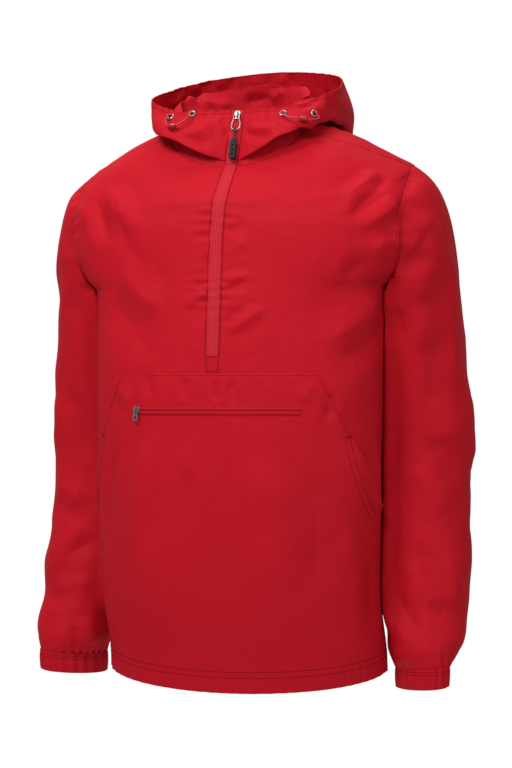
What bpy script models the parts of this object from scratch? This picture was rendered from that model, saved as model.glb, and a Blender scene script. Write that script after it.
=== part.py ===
"""Anorak pullover, filled out as if worn: hood down, half zip closed, sleeves hanging.

Metres, +Z up. The wearer faces -Y and their left is +X. The origin is the middle of the neck's base,
between the neck ends of the shoulder seams. Torso, sleeves and hood are drawn as one smooth shell, so
that neighbours share their seam lines. Each piece is then cut out of the shell, drawn back from its
seams and given its wall.
"""

import math
from collections import namedtuple

import bmesh
import bpy
import numpy as np
from mathutils import Matrix, Vector
from mathutils.bvhtree import BVHTree

# Cloth and seams
WALL = 0.0015
SEAM_GAP = 0.0003
WIDEST_SEAM_SHIFT = 0.0008
SEAM_DIAGONAL = Vector((0.31, 0.53, 0.79))
ZIP_HALF_WIDTH = 0.008

# The top of the zip leans and the hem sways to the wearer's left, fading in between two heights.
ZIP_LEAN = 0.008
LEAN_HALF_WIDTH = 0.055
LEAN_HEIGHTS = (-0.15, 0.02)
HEM_SWAY = 0.012
SWAY_DEPTHS = (0.58, 0.70)

# How finely the shell is divided
FRONT_COLUMNS = 11
BACK_COLUMNS = 9

# Each row of the torso is a curve from the centre line to the side. It leaves the centre level, and it
# reaches its edge turned by `turn` degrees from +X and rising by `climb`, with a handle `pull` long.
Row = namedtuple("Row", "centre_y centre_z edge_x edge_y edge_z turn climb pull")

FRONT_BODY = (
    Row(-0.127, -0.726, 0.187, -0.014, -0.706, 90, 8, 0.062),
    Row(-0.130, -0.622, 0.189, -0.018, -0.610, 90, 0, 0.063),
    Row(-0.131, -0.511, 0.192, -0.020, -0.505, 90, 0, 0.063),
    Row(-0.130, -0.402, 0.194, -0.022, -0.400, 90, 0, 0.062),
    Row(-0.128, -0.3195, 0.1955, -0.022, -0.3185, 90, 0, 0.062),
    Row(-0.127, -0.297, 0.1960, -0.021, -0.292, 90, 0, 0.062),
    Row(-0.121, -0.222, 0.199, -0.008, -0.207, 90, 0, 0.062),
)
FRONT_ARMHOLE = (
    FRONT_BODY[-1],
    Row(-0.118, -0.192, 0.2135, -0.036, -0.185, 70, 0, 0.050),
    Row(-0.1145, -0.163, 0.2235, -0.050, -0.155, 54, 0, 0.050),
    Row(-0.111, -0.137, 0.2245, -0.047, -0.121, 54, 2, 0.050),
    Row(-0.108, -0.115, 0.2270, -0.022, -0.080, 64, 10, 0.055),
    Row(-0.104, -0.096, 0.2277, 0.010, -0.0485, 84, 20, 0.060),
)
FRONT_SHOULDER = (
    FRONT_ARMHOLE[-1],
    Row(-0.0875, -0.071, 0.155, -0.0225, -0.0195, 88, 32, 0.052),
    Row(-0.068, -0.048, 0.088, -0.028, 0.002, 95, 42, 0.030),
)
BACK_BODY = (
    Row(0.108, -0.721, 0.187, -0.014, -0.706, 90, -8, 0.070),
    Row(0.112, -0.616, 0.189, -0.018, -0.610, 90, 0, 0.072),
    Row(0.114, -0.508, 0.192, -0.020, -0.505, 90, 0, 0.074),
    Row(0.112, -0.400, 0.194, -0.022, -0.400, 90, 0, 0.074),
    Row(0.111, -0.316, 0.1955, -0.022, -0.3185, 90, 0, 0.073),
    Row(0.111, -0.287, 0.1960, -0.021, -0.292, 90, 0, 0.072),
    Row(0.115, -0.201, 0.199, -0.008, -0.207, 90, 0, 0.068),
)
BACK_ARMHOLE = (
    BACK_BODY[-1],
    Row(0.120, -0.172, 0.2145, 0.032, -0.187, 112, 0, 0.050),
    Row(0.1235, -0.143, 0.2175, 0.066, -0.152, 134, 0, 0.045),
    Row(0.125, -0.111, 0.2215, 0.084, -0.101, 138, 2, 0.045),
    Row(0.1235, -0.078, 0.2270, 0.062, -0.049, 112, 12, 0.045),
    Row(0.119, -0.050, 0.2277, 0.010, -0.0485, 84, 32, 0.050),
)
BACK_SHOULDER = (
    BACK_ARMHOLE[-1],
    Row(0.104, -0.004, 0.155, -0.0225, -0.0195, 88, 38, 0.065),
    Row(0.078, 0.034, 0.088, -0.028, 0.002, 95, 42, 0.050),
)
BODY_SPLITS = (3, 2, 3, 3, 1, 3)
ARMHOLE_SPLITS = (2, 1, 1, 2, 2)
SHOULDER_SPLITS = (2, 2)
CENTRE_LEVEL = 0.60
ZIP_END_KEY = 5

# Each ring of the sleeve runs from its inner point, by the body, to its outer point. Its middle lies at
# middle_y, it is half_depth deep to the front and back, and it is twisted about Z.
Ring = namedtuple("Ring", "inner_x inner_z outer_x outer_z middle_y half_depth twist")

SLEEVE_CAP = (
    Ring(0.2030, -0.226, 0.2535, -0.066, 0.030, 0.068, 0),
    Ring(0.1990, -0.240, 0.2670, -0.095, 0.032, 0.069, -5),
    Ring(0.1965, -0.258, 0.2770, -0.142, 0.034, 0.068, -10),
    Ring(0.1915, -0.283, 0.2820, -0.198, 0.042, 0.066, -12),
    Ring(0.1845, -0.316, 0.2870, -0.256, 0.051, 0.065, -12),
    Ring(0.1790, -0.352, 0.2915, -0.315, 0.058, 0.063, -10),
)
SLEEVE_TUBE = (
    SLEEVE_CAP[-1],
    Ring(0.1720, -0.397, 0.2985, -0.392, 0.064, 0.061, -8),
    Ring(0.1725, -0.463, 0.2945, -0.463, 0.062, 0.059, -6),
    Ring(0.1775, -0.535, 0.2960, -0.537, 0.053, 0.058, 0),
    Ring(0.1845, -0.600, 0.3005, -0.604, 0.038, 0.057, 8),
    Ring(0.1950, -0.646, 0.2985, -0.648, 0.022, 0.056, 20),
    Ring(0.2015, -0.678, 0.2925, -0.679, 0.007, 0.053, 34),
    Ring(0.2165, -0.6985, 0.2735, -0.6985, 0.000, 0.0485, 42),
)
TUBE_SPLITS = (2, 3, 3, 3, 2, 2, 1)
# How far the sleeve's first row lies from the armhole to the first ring, in X, Y and Z.
CAP_START = (0.4, 0.4, 0.25)

# The hood starts at the neck seam, rises to a ridge, turns over and hangs to a lip, and comes up again
# outside to its rim. A row gives that profile at one of the neck seam's columns, counted from the zip.
Station = namedtuple("Station", "column ridge lip outer rim")

HOOD_STATIONS = (
    Station(0.0, (0, -0.0668, -0.0430), (0, -0.0662, -0.0390), (0, -0.053, 0.008), (0, -0.046, 0.0285)),
    Station(
        3.5,
        (0.034, -0.058, -0.020),
        (0.037, -0.078, -0.036),
        (0.038, -0.069, -0.006),
        (0.036, -0.050, 0.0285),
    ),
    Station(
        6.5,
        (0.064, -0.044, 0.018),
        (0.071, -0.077, -0.018),
        (0.073, -0.070, 0.004),
        (0.068, -0.054, 0.027),
    ),
    Station(
        9.3,
        (0.081, -0.018, 0.045),
        (0.101, -0.060, -0.0065),
        (0.108, -0.054, 0.016),
        (0.103, -0.036, 0.039),
    ),
    Station(
        12.8,
        (0.086, 0.020, 0.060),
        (0.125, 0.016, 0.0085),
        (0.134, 0.014, 0.030),
        (0.130, 0.008, 0.059),
    ),
    Station(
        16.1,
        (0.064, 0.056, 0.074),
        (0.117, 0.108, -0.022),
        (0.131, 0.112, 0.028),
        (0.101, 0.104, 0.092),
    ),
    Station(20.0, (0, 0.070, 0.080), (0, 0.165, -0.105), (0, 0.192, -0.015), (0, 0.156, 0.110)),
)
RIDGE_ROUNDING = 0.010
LIP_ROUNDING = 0.014
# A rounded corner takes no more than this share of the stretch to the next point.
MOST_OF_STRETCH = 0.45
NO_LENGTH = 1e-6

# Cuffs
CUFF_CENTRE = Vector((0.2450, 0.000, 0))
CUFF_TOP = -0.6985
CUFF_BOTTOM = -0.7238
# How much each cuff rises outwards, fading in down the lower half of the sleeve.
CUFF_TILT = 0.10
TILT_DEPTHS = (0.315, 0.6885)
CUFF_HALF_AXES = (0.0285, 0.0485)
CUFF_TWIST = 42
CUFF_GATHERS = 20
CUFF_WAVE = 0.0011
CUFF_SWELL = 0.0008
CUFF_LAST_WAVE = 0.6
CUFF_WALL = 0.0026
POINTS_PER_GATHER = 4

# Kangaroo pocket
POCKET_TOP_HALF = 0.136
POCKET_TACK = (0.171, -0.400)
POCKET_MOUTH_END = (0.200, -0.507)
POCKET_TOP_Z = -0.3195
POCKET_LIFT = 0.0005
POCKET_POUCH = 0.0035
POCKET_ZIP_Z = -0.3665
POCKET_ZIP_ENDS = (-0.110, 0.114)
LIP_HEIGHT = 0.0065
LIP_WALL = 0.0009

# Patch over the lower end of the half zip
PATCH_HALF_WIDTH = 0.009
PATCH_TOP = -0.2975
PATCH_BOTTOM = -0.3170
PATCH_WALL = 0.0012

# Eyelets, drawcords and cord locks. Each eyelet sits where a level line from the front, at x and z, meets
# the hood. A cord's route runs from its front eyelet to its side one over points given as x, z and their
# distance off the hood. It is straight between its third and fourth points, where the cord lock holds it.
EYELET_RADIUS = 0.0050
EYELET_HOLE = 0.0029
EYELET_HEIGHT = 0.0012
EYELET_LIFT = 0.0007
CORD_RADIUS = 0.0012
CORD_START = 0.0014
CORD_RISE = 0.0050
LOCK_RADIUS = 0.0035
LOCK_BORE = 0.0020
LOCK_LENGTH = 0.0115
EYELETS = {
    "left": ((0.0735, 0.0190), (0.1115, 0.0190)),
    "right": ((-0.0530, 0.0245), (-0.0830, 0.0220)),
}
CORD_ROUTES = {
    "left": (
        (0.0750, 0.0140, 0.0075),
        (0.0830, 0.0090, 0.0080),
        (0.0930, 0.0080, 0.0075),
        (0.1045, 0.0080, 0.0075),
        (0.1120, 0.0125, 0.0075),
    ),
    "right": (
        (-0.0540, 0.0185, 0.0075),
        (-0.0590, 0.0100, 0.0080),
        (-0.0680, 0.0045, 0.0075),
        (-0.0790, 0.0040, 0.0075),
        (-0.0850, 0.0125, 0.0075),
    ),
}

# Slider of the half zip, seen from the front: x across, z up the zip, and height off the tape.
SLIDER_PLACE = (0.0088, 0.0205)
SLIDER_LIFT = 0.0006
SLIDER_PLATE = 0.0022
SLIDER_OUTLINE = (
    (-0.0022, -0.0060),
    (0.0022, -0.0060),
    (0.0036, -0.0030),
    (0.0040, 0.0035),
    (0.0028, 0.0058),
    (-0.0028, 0.0058),
    (-0.0040, 0.0035),
    (-0.0036, -0.0030),
)
BAIL_WIDTH = 0.0022
BAIL_WALL = 0.0012
BAIL_HOLE = 0.0028
BAIL_HALF_LENGTH = 0.0045

# Pull of the half zip, hanging from its axis at z = 0: wire ring, loop of cord and rubber grip.
PULL_SLOPE = 20
RING_WIRE = 0.00065
RING_OUTLINE = (
    (0.0, 0.0),
    (0.0025, 0.0),
    (0.0038, -0.0014),
    (0.0038, -0.0060),
    (0.0050, -0.0110),
    (0.0060, -0.0165),
    (0.0048, -0.0206),
    (0.0, -0.0218),
)
LOOP_RADIUS = 0.0009
LOOP_ROUTE = (
    (-0.0012, 0.0, -0.0368),
    (-0.0010, -0.0012, -0.0300),
    (0.0, -0.0021, -0.0238),
    (0.0, -0.0016, -0.0204),
    (0.0, 0.0, -0.0192),
    (0.0, 0.0016, -0.0204),
    (0.0, 0.0021, -0.0238),
    (0.0010, 0.0012, -0.0300),
    (0.0012, 0.0, -0.0368),
)
GRIP_THICKNESS = 0.0034
GRIP_OUTLINE = (
    (0.0024, -0.0371),
    (0.0038, -0.0390),
    (0.0046, -0.0430),
    (0.0044, -0.0480),
    (0.0040, -0.0520),
    (0.0046, -0.0570),
    (0.0047, -0.0610),
    (0.0036, -0.0642),
    (0.0015, -0.0654),
)
GRIP_HOLES = ((-0.0455, 0.0011), (-0.0520, 0.0011), (-0.0585, 0.0013))

# Slider of the pocket's zip and its tab, which hangs from its axis at z = 0.
POCKET_SLIDER_PLACE = (-0.1045, -0.3660)
POCKET_SLIDER_PLATE = 0.0016
POCKET_SLIDER_OUTLINE = (
    (-0.0050, -0.0022),
    (-0.0030, -0.0040),
    (0.0040, -0.0040),
    (0.0050, -0.0025),
    (0.0050, 0.0025),
    (0.0040, 0.0040),
    (-0.0030, 0.0040),
    (-0.0050, 0.0022),
)
TAB_SLOPE = 2
TAB_THICKNESS = 0.0011
TAB_OUTLINE = (
    (0.0026, 0.0006),
    (0.0032, 0.0000),
    (0.0032, -0.0055),
    (0.0042, -0.0085),
    (0.0043, -0.0115),
    (0.0030, -0.0138),
    (0.0010, -0.0145),
)
TAB_WINDOW = (
    (0.0018, -0.0007),
    (0.0018, -0.0056),
    (-0.0018, -0.0056),
    (-0.0018, -0.0007),
)
TAB_HOLE = (-0.0102, 0.0024, 0.0027)

# The largest folds: soft ridges (depth > 0) and troughs (depth < 0) between two points, seen from the
# front or back as (x, z), or from a side as (y, z). TORSO_HALF parts the torso from the sleeves.
TORSO_HALF = 0.235
Fold = namedtuple("Fold", "facing start end width depth")

FOLDS = (
    Fold("front", (0.222, -0.082), (0.165, -0.142), 0.016, 0.0045),
    Fold("front", (0.218, -0.112), (0.170, -0.160), 0.012, -0.0035),
    Fold("front", (0.220, -0.140), (0.155, -0.190), 0.016, 0.0040),
    Fold("front", (-0.222, -0.085), (-0.165, -0.150), 0.016, 0.0040),
    Fold("front", (-0.200, -0.095), (-0.108, -0.190), 0.018, -0.0045),
    Fold("front", (-0.215, -0.150), (-0.150, -0.225), 0.018, 0.0040),
    Fold("front", (0.030, -0.225), (0.075, -0.265), 0.014, 0.0025),
    Fold("front", (-0.125, -0.245), (-0.150, -0.330), 0.020, 0.0030),
    Fold("front", (0.150, -0.260), (0.165, -0.350), 0.020, 0.0030),
    Fold("front", (-0.060, -0.430), (-0.085, -0.640), 0.030, 0.0035),
    Fold("front", (0.065, -0.440), (0.095, -0.630), 0.030, 0.0030),
    Fold("back", (0.205, -0.120), (0.120, -0.200), 0.020, 0.0050),
    Fold("back", (-0.205, -0.120), (-0.125, -0.215), 0.020, 0.0045),
    Fold("back", (0.190, -0.190), (0.110, -0.250), 0.020, -0.0040),
    Fold("back", (-0.195, -0.180), (-0.100, -0.245), 0.020, -0.0040),
    Fold("back", (0.090, -0.260), (0.130, -0.600), 0.034, 0.0050),
    Fold("back", (-0.100, -0.300), (-0.115, -0.620), 0.034, 0.0050),
    Fold("back", (0.010, -0.330), (-0.005, -0.660), 0.032, -0.0040),
    Fold("left", (0.020, -0.140), (-0.045, -0.215), 0.018, 0.0040),
    Fold("left", (0.085, -0.330), (-0.005, -0.400), 0.018, 0.0045),
    Fold("left", (0.095, -0.420), (0.000, -0.350), 0.016, -0.0040),
    Fold("left", (0.070, -0.520), (-0.020, -0.600), 0.020, 0.0045),
    Fold("left", (0.050, -0.590), (-0.030, -0.640), 0.014, -0.0035),
    Fold("right", (0.020, -0.140), (-0.045, -0.225), 0.018, 0.0040),
    Fold("right", (0.085, -0.340), (-0.005, -0.405), 0.018, 0.0040),
    Fold("right", (0.090, -0.430), (-0.005, -0.365), 0.016, -0.0040),
    Fold("right", (-0.020, -0.540), (0.070, -0.600), 0.020, 0.0045),
    Fold("right", (-0.030, -0.600), (0.050, -0.645), 0.014, -0.0035),
)

PANELS = (
    "front",
    "back",
    "sleeve_left",
    "sleeve_right",
    "hood_left",
    "hood_right",
    "zip_tape_left",
    "zip_tape_right",
)
SIDES = (("left", 1), ("right", -1))


def material(name, colour, roughness, metallic=0.0):
    made = bpy.data.materials.new(name)
    made.use_nodes = True
    shader = made.node_tree.nodes["Principled BSDF"]
    shader.inputs["Base Color"].default_value = (*colour, 1)
    shader.inputs["Roughness"].default_value = roughness
    shader.inputs["Metallic"].default_value = metallic
    return made


def clear_scene():
    for obj in list(bpy.data.objects):
        bpy.data.objects.remove(obj)


def object_of(name, mesh_or_bmesh, finish):
    if isinstance(mesh_or_bmesh, bmesh.types.BMesh):
        mesh = bpy.data.meshes.new(name)
        mesh_or_bmesh.to_mesh(mesh)
        mesh_or_bmesh.free()
    else:
        mesh = mesh_or_bmesh
    mesh.materials.append(finish)
    mesh.shade_smooth()
    mesh.set_sharp_from_angle(angle=math.radians(40))
    obj = bpy.data.objects.new(name, mesh)
    bpy.context.scene.collection.objects.link(obj)
    return obj


# Curves through tables


def through(keys, splits):
    """Rows on a smooth curve through the key rows, splits[i] of them from key i to key i + 1."""
    table = np.array(keys, float)
    knots = np.concatenate([[0], np.cumsum(splits)]).astype(float)
    slopes = np.gradient(table, knots, axis=0)
    rows = []
    for step in range(int(knots[-1]) + 1):
        i = min(int(np.searchsorted(knots, step, "right")) - 1, len(splits) - 1)
        rows.append(hermite(table[i], table[i + 1], slopes[i], slopes[i + 1], knots[i], knots[i + 1], step))
    return rows


def hermite(start, end, start_slope, end_slope, t0, t1, t):
    width = t1 - t0
    u = (t - t0) / width
    return (
        start * (2 * u**3 - 3 * u**2 + 1)
        + end * (3 * u**2 - 2 * u**3)
        + start_slope * width * (u**3 - 2 * u**2 + u)
        + end_slope * width * (u**3 - u**2)
    )


def bezier(p0, p1, p2, p3, t):
    s = 1 - t
    return p0 * s**3 + p1 * (3 * s * s * t) + p2 * (3 * s * t * t) + p3 * t**3


def spaced(samples, columns, first=None):
    """Points along a sampled curve, evenly by length. With first, the second of them is where x = first."""
    samples = np.array(samples)
    lengths = np.concatenate([[0], np.cumsum(np.linalg.norm(np.diff(samples, axis=0), axis=1))])
    if first is None:
        wanted = np.linspace(0, lengths[-1], columns + 1)
    else:
        start = np.interp(first, samples[: len(samples) // 2, 0], lengths[: len(samples) // 2])
        wanted = np.concatenate([[0], np.linspace(start, lengths[-1], columns)])
    return [Vector([np.interp(w, lengths, samples[:, axis]) for axis in range(3)]) for w in wanted]


def torso_rows(body, armhole, shoulder, towards_back, columns, first):
    """The points of one half of the front or back, from hem to neck."""
    stretches = ((body, BODY_SPLITS), (armhole, ARMHOLE_SPLITS), (shoulder, SHOULDER_SPLITS))
    keys = body + armhole[1:] + shoulder[1:]
    centres = through([key[:2] for key in keys], BODY_SPLITS + ARMHOLE_SPLITS + SHOULDER_SPLITS)
    edges = []
    for stretch, splits in stretches:
        rows = through([key[2:] for key in stretch], splits)
        edges += rows if not edges else rows[1:]
    grid = []
    for (centre_y, centre_z), (x, y, z, turn, climb, pull) in zip(centres, edges):
        turn, climb = math.radians(turn), math.radians(climb)
        heading = Vector(
            (math.cos(turn) * math.cos(climb), math.sin(turn) * math.cos(climb), math.sin(climb))
        )
        start = Vector((0, centre_y, centre_z))
        end = Vector((x, y, z))
        level = start + Vector((CENTRE_LEVEL * x, 0, 0))
        handle = end + heading * (pull if towards_back else -pull)
        samples = [bezier(start, level, handle, end, t) for t in np.linspace(0, 1, 121)]
        grid.append(spaced(samples, columns, first))
    return grid


def armhole_loop(front, back):
    """The armhole's points from the armpit up its front edge to the shoulder tip and down its back."""
    low = sum(BODY_SPLITS)
    high = low + sum(ARMHOLE_SPLITS)
    up = [front[row][-1] for row in range(low, high + 1)]
    down = [back[row][-1] for row in range(high - 1, low, -1)]
    return up + down


def tilt_cuff(point):
    """Raises the outer side of a cuff, and lowers its inner side."""
    share = ramp(-point.z, *TILT_DEPTHS)
    return point + Vector((0, 0, CUFF_TILT * share * (point.x - CUFF_CENTRE.x)))


def sleeve_ring(ring, count):
    ring = Ring(*ring)
    inner = Vector((ring.inner_x, ring.middle_y, ring.inner_z))
    outer = Vector((ring.outer_x, ring.middle_y, ring.outer_z))
    middle = (inner + outer) / 2
    twist = Matrix.Rotation(math.radians(ring.twist), 3, "Z")
    points = []
    for k in range(count):
        angle = 2 * math.pi * k / count
        away = (inner - middle) * math.cos(angle) - Vector((0, ring.half_depth, 0)) * math.sin(angle)
        points.append(tilt_cuff(middle + twist @ away))
    return points


def sleeve_rows(loop):
    rings = [*SLEEVE_CAP[:-1], *through(SLEEVE_TUBE, TUBE_SPLITS)]
    rings = [sleeve_ring(ring, len(loop)) for ring in rings]
    start = [at + (beyond - at) * Vector(CAP_START) for at, beyond in zip(loop, rings[0])]
    return [row + row[:1] for row in (loop, start, *rings)]


def corner(before, at, after, rounding):
    """A rounded corner of a profile, as where it starts, its middle and where it ends."""
    start = at.lerp(before, min(MOST_OF_STRETCH, rounding / max((before - at).length, NO_LENGTH)))
    end = at.lerp(after, min(MOST_OF_STRETCH, rounding / max((after - at).length, NO_LENGTH)))
    return start, (start + 2 * at + end) / 4, end


def hood_profile(base, ridge, lip, outer, rim):
    turn = corner(base, ridge, lip, RIDGE_ROUNDING)
    hang = corner(ridge, lip, outer, LIP_ROUNDING)
    swell = (hang[2] + 2 * outer + rim) / 4
    return [
        base,
        (base + turn[0]) / 2,
        *turn,
        (turn[2] + hang[0]) / 2,
        *hang,
        (hang[2] + swell) / 2,
        swell,
        (swell + rim) / 2 + (outer - swell) * 0.25,
        rim,
    ]


def hood_rows(front, back):
    """The points of one half of the hood, from the neck seam to the rim."""
    neck = front[-1] + back[-1][-2::-1]
    splits = np.diff([station.column for station in HOOD_STATIONS])
    knots = np.array([station.column for station in HOOD_STATIONS])
    curves = []
    for field in ("ridge", "lip", "outer", "rim"):
        table = np.array([getattr(station, field) for station in HOOD_STATIONS], float)
        slopes = np.gradient(table, knots, axis=0)
        slopes[0] = (slopes[0][0], 0, 0)
        slopes[-1] = (slopes[-1][0], 0, 0)
        curves.append((table, slopes))
    profiles = []
    for column, base in enumerate(neck):
        i = min(int(np.searchsorted(knots, column, "right")) - 1, len(splits) - 1)
        stops = [
            Vector(hermite(table[i], table[i + 1], slopes[i], slopes[i + 1], knots[i], knots[i + 1], column))
            for table, slopes in curves
        ]
        profiles.append(hood_profile(base, *stops))
    tape_width = Vector((ZIP_HALF_WIDTH, 0, 0))
    profiles[1][1:] = [point + tape_width for point in profiles[0][1:]]
    return [list(row) for row in zip(*profiles)]


# The shell and the pieces cut from it


def add_grid(shell, grid, panel_of, sign, flip):
    """Adds a grid of points as faces, mirrored in X for a sign of -1. panel_of names each face's piece."""
    label = shell.faces.layers.int["panel"]
    made = [[shell.verts.new((sign * p.x, p.y, p.z)) for p in row] for row in grid]
    for r in range(len(made) - 1):
        for c in range(len(made[0]) - 1):
            corners = [made[r][c], made[r][c + 1], made[r + 1][c + 1], made[r + 1][c]]
            if flip != (sign < 0):
                corners.reverse()
            shell.faces.new(corners)[label] = PANELS.index(panel_of(r, c))


def build_shell():
    front = torso_rows(FRONT_BODY, FRONT_ARMHOLE, FRONT_SHOULDER, False, FRONT_COLUMNS, ZIP_HALF_WIDTH)
    back = torso_rows(BACK_BODY, BACK_ARMHOLE, BACK_SHOULDER, True, BACK_COLUMNS, None)
    armpit, tip = sum(BODY_SPLITS), sum(BODY_SPLITS + ARMHOLE_SPLITS)
    for row, (front_row, back_row) in enumerate(zip(front, back)):
        if row <= armpit or row >= tip:
            back_row[-1] = front_row[-1].copy()
    zip_start = sum(BODY_SPLITS[:ZIP_END_KEY])
    sleeve = sleeve_rows(armhole_loop(front, back))
    hood = hood_rows(front, back)

    shell = bmesh.new()
    shell.faces.layers.int.new("panel")
    shell.verts.layers.float_vector.new("out")
    for side, sign in SIDES:
        tape = f"zip_tape_{side}"
        add_grid(shell, front, lambda r, c: tape if c == 0 and r >= zip_start else "front", sign, False)
        add_grid(shell, back, lambda r, c: "back", sign, True)
        add_grid(shell, sleeve, lambda r, c: f"sleeve_{side}", sign, True)
        add_grid(shell, hood, lambda r, c: tape if c == 0 else f"hood_{side}", sign, False)
    bmesh.ops.remove_doubles(shell, verts=shell.verts, dist=0.00002)
    lean_zip(shell)
    sway_hem(shell)
    shell.normal_update()
    press_folds(shell)
    shell.normal_update()
    out = shell.verts.layers.float_vector["out"]
    for vert in shell.verts:
        vert[out] = vert.normal
    return shell


def ramp(value, low, high):
    t = min(1, max(0, (value - low) / (high - low)))
    return t * t * (3 - 2 * t)


def lean_zip(shell):
    """The top of the zip stands a little to the wearer's left."""
    for vert in shell.verts:
        if vert.co.y < 0:
            near = math.exp(-((vert.co.x / LEAN_HALF_WIDTH) ** 2))
            vert.co.x += ZIP_LEAN * near * ramp(vert.co.z, *LEAN_HEIGHTS)


def sway_hem(shell):
    """The hem swings a little to the wearer's left."""
    label = shell.faces.layers.int["panel"]
    torso = [PANELS.index("front"), PANELS.index("back")]
    for vert in shell.verts:
        if all(face[label] in torso for face in vert.link_faces):
            vert.co.x += HEM_SWAY * ramp(-vert.co.z, *SWAY_DEPTHS)


def press_folds(shell):
    label = shell.faces.layers.int["panel"]
    foldable = [PANELS.index(name) for name in ("front", "back", "sleeve_left", "sleeve_right")]
    moves = {}
    for vert in shell.verts:
        if not all(face[label] in foldable for face in vert.link_faces):
            continue
        moves[vert] = sum(fold_height(fold, vert.co, vert.normal) for fold in FOLDS)
    for vert, height in moves.items():
        vert.co += vert.normal * height


def fold_height(fold, point, normal):
    """How far a fold lifts the cloth at a point: full along its middle, fading at its sides and ends."""
    seen = {
        "front": (point.x, -normal.y, abs(point.x) < TORSO_HALF),
        "back": (point.x, normal.y, abs(point.x) < TORSO_HALF),
        "left": (point.y, normal.x, point.x > TORSO_HALF),
        "right": (point.y, -normal.x, point.x < -TORSO_HALF),
    }
    across, facing, inside = seen[fold.facing]
    if facing < 0.2 or not inside:
        return 0
    start, end, at = Vector(fold.start), Vector(fold.end), Vector((across, point.z))
    along = (at - start).dot(end - start) / (end - start).length_squared
    away = (at - start.lerp(end, min(1, max(0, along)))).length
    ends = ramp(along, -0.15, 0.25) * (1 - ramp(along, 0.75, 1.15))
    return fold.depth * math.exp(-((away / fold.width) ** 2)) * ends * ramp(facing, 0.2, 0.5)


def inward(vert, faces):
    """The direction from a vertex on the edge of some faces into them, in their plane."""
    total = Vector()
    for edge in vert.link_edges:
        own = [face for face in edge.link_faces if face in faces]
        if len(own) != 1:
            continue
        along = (edge.other_vert(vert).co - vert.co).normalized()
        towards = own[0].calc_center_median() - vert.co
        total += (towards - along * towards.dot(along)).normalized()
    return total.normalized() if total.length > 1e-6 else total


def seam_shifts(shell):
    """For each vertex on a seam, how far each piece is drawn back from it, so that the gap is SEAM_GAP."""
    label = shell.faces.layers.int["panel"]
    shifts = {}
    for vert in shell.verts:
        pieces = {}
        for face in vert.link_faces:
            pieces.setdefault(face[label], set()).add(face)
        if len(pieces) == 1 and not any(edge.is_boundary for edge in vert.link_edges):
            continue
        ways = {piece: inward(vert, faces) for piece, faces in pieces.items()}
        closest = min(
            ((ways[a] - ways[b]).length for a in ways for b in ways if a < b), default=2
        )
        shift = min(WIDEST_SEAM_SHIFT, SEAM_GAP / max(closest, 1e-6))
        for piece, way in ways.items():
            shifts[vert, piece] = way * shift
    return shifts


def split_quads(sheet):
    bmesh.ops.triangulate(sheet, faces=sheet.faces[:], quad_method="SHORT_EDGE")


def cut_panel(shell, name, shifts):
    """The sheet of one piece, drawn back from its seams."""
    label = shell.faces.layers.int["panel"]
    out = shell.verts.layers.float_vector["out"]
    number = PANELS.index(name)
    sheet = bmesh.new()
    own_out = sheet.verts.layers.float_vector.new("out")
    made = {}
    for face in shell.faces:
        if face[label] != number:
            continue
        for vert in face.verts:
            if vert not in made:
                copy = sheet.verts.new(vert.co + shifts.get((vert, number), Vector()))
                copy[own_out] = vert[out]
                made[vert] = copy
        sheet.faces.new([made[vert] for vert in face.verts])
    split_quads(sheet)
    return sheet


def crop(sheet, planes):
    """Cuts away what lies beyond each plane, given as a point and the direction that goes."""
    for point, direction in planes:
        bmesh.ops.bisect_plane(
            sheet,
            geom=sheet.verts[:] + sheet.edges[:] + sheet.faces[:],
            dist=0.00005,
            plane_co=point,
            plane_no=direction,
            clear_outer=True,
        )
    out = sheet.verts.layers.float_vector["out"]
    for vert in sheet.verts:
        vert[out] = vert[out].normalized()
    return sheet


def walled(sheet, low, high):
    """A closed wall between two heights over a sheet. Both of its faces share the sheet's diagonals."""
    split_quads(sheet)
    out = sheet.verts.layers.float_vector["out"]
    solid = bmesh.new()
    top = {vert: solid.verts.new(vert.co + vert[out] * high) for vert in sheet.verts}
    under = {vert: solid.verts.new(vert.co + vert[out] * low) for vert in sheet.verts}
    for face in sheet.faces:
        solid.faces.new([top[vert] for vert in face.verts])
        solid.faces.new([under[vert] for vert in reversed(face.verts)])
    for edge in sheet.edges:
        if not edge.is_boundary:
            continue
        loop = edge.link_loops[0]
        a, b = loop.vert, loop.link_loop_next.vert
        # Neighbours share the diagonal of a twisted seam wall, so that they stay apart along it.
        if (b.co - a.co).dot(SEAM_DIAGONAL) > 0:
            solid.faces.new([top[b], top[a], under[a]])
            solid.faces.new([top[b], under[a], under[b]])
        else:
            solid.faces.new([top[b], top[a], under[b]])
            solid.faces.new([top[a], under[a], under[b]])
    return solid


def lift_pocket(sheet):
    """Lets the pocket stand off the front as a shallow pouch, flat where it is sewn down."""
    out = sheet.verts.layers.float_vector["out"]
    bottom = min(vert.co.z for vert in sheet.verts)
    for vert in sheet.verts:
        down = (POCKET_TOP_Z - vert.co.z) / (POCKET_TOP_Z - bottom)
        across = abs(vert.co.x) / POCKET_MOUTH_END[0]
        pouch = ramp(down, 0.0, 0.35) * (1 - ramp(down, 0.75, 0.97)) * (1 - ramp(across, 0.55, 0.97))
        vert.co += vert[out] * POCKET_POUCH * pouch


def side_plane(start, end, sign):
    """The upright plane through two points (x, z) of the front, mirrored for a sign of -1, facing outwards."""
    along = Vector((sign * (end[0] - start[0]), 0, end[1] - start[1]))
    outwards = Vector((-along.z * sign, 0, along.x * sign))
    return Vector((sign * start[0], 0, start[1])), outwards


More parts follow.
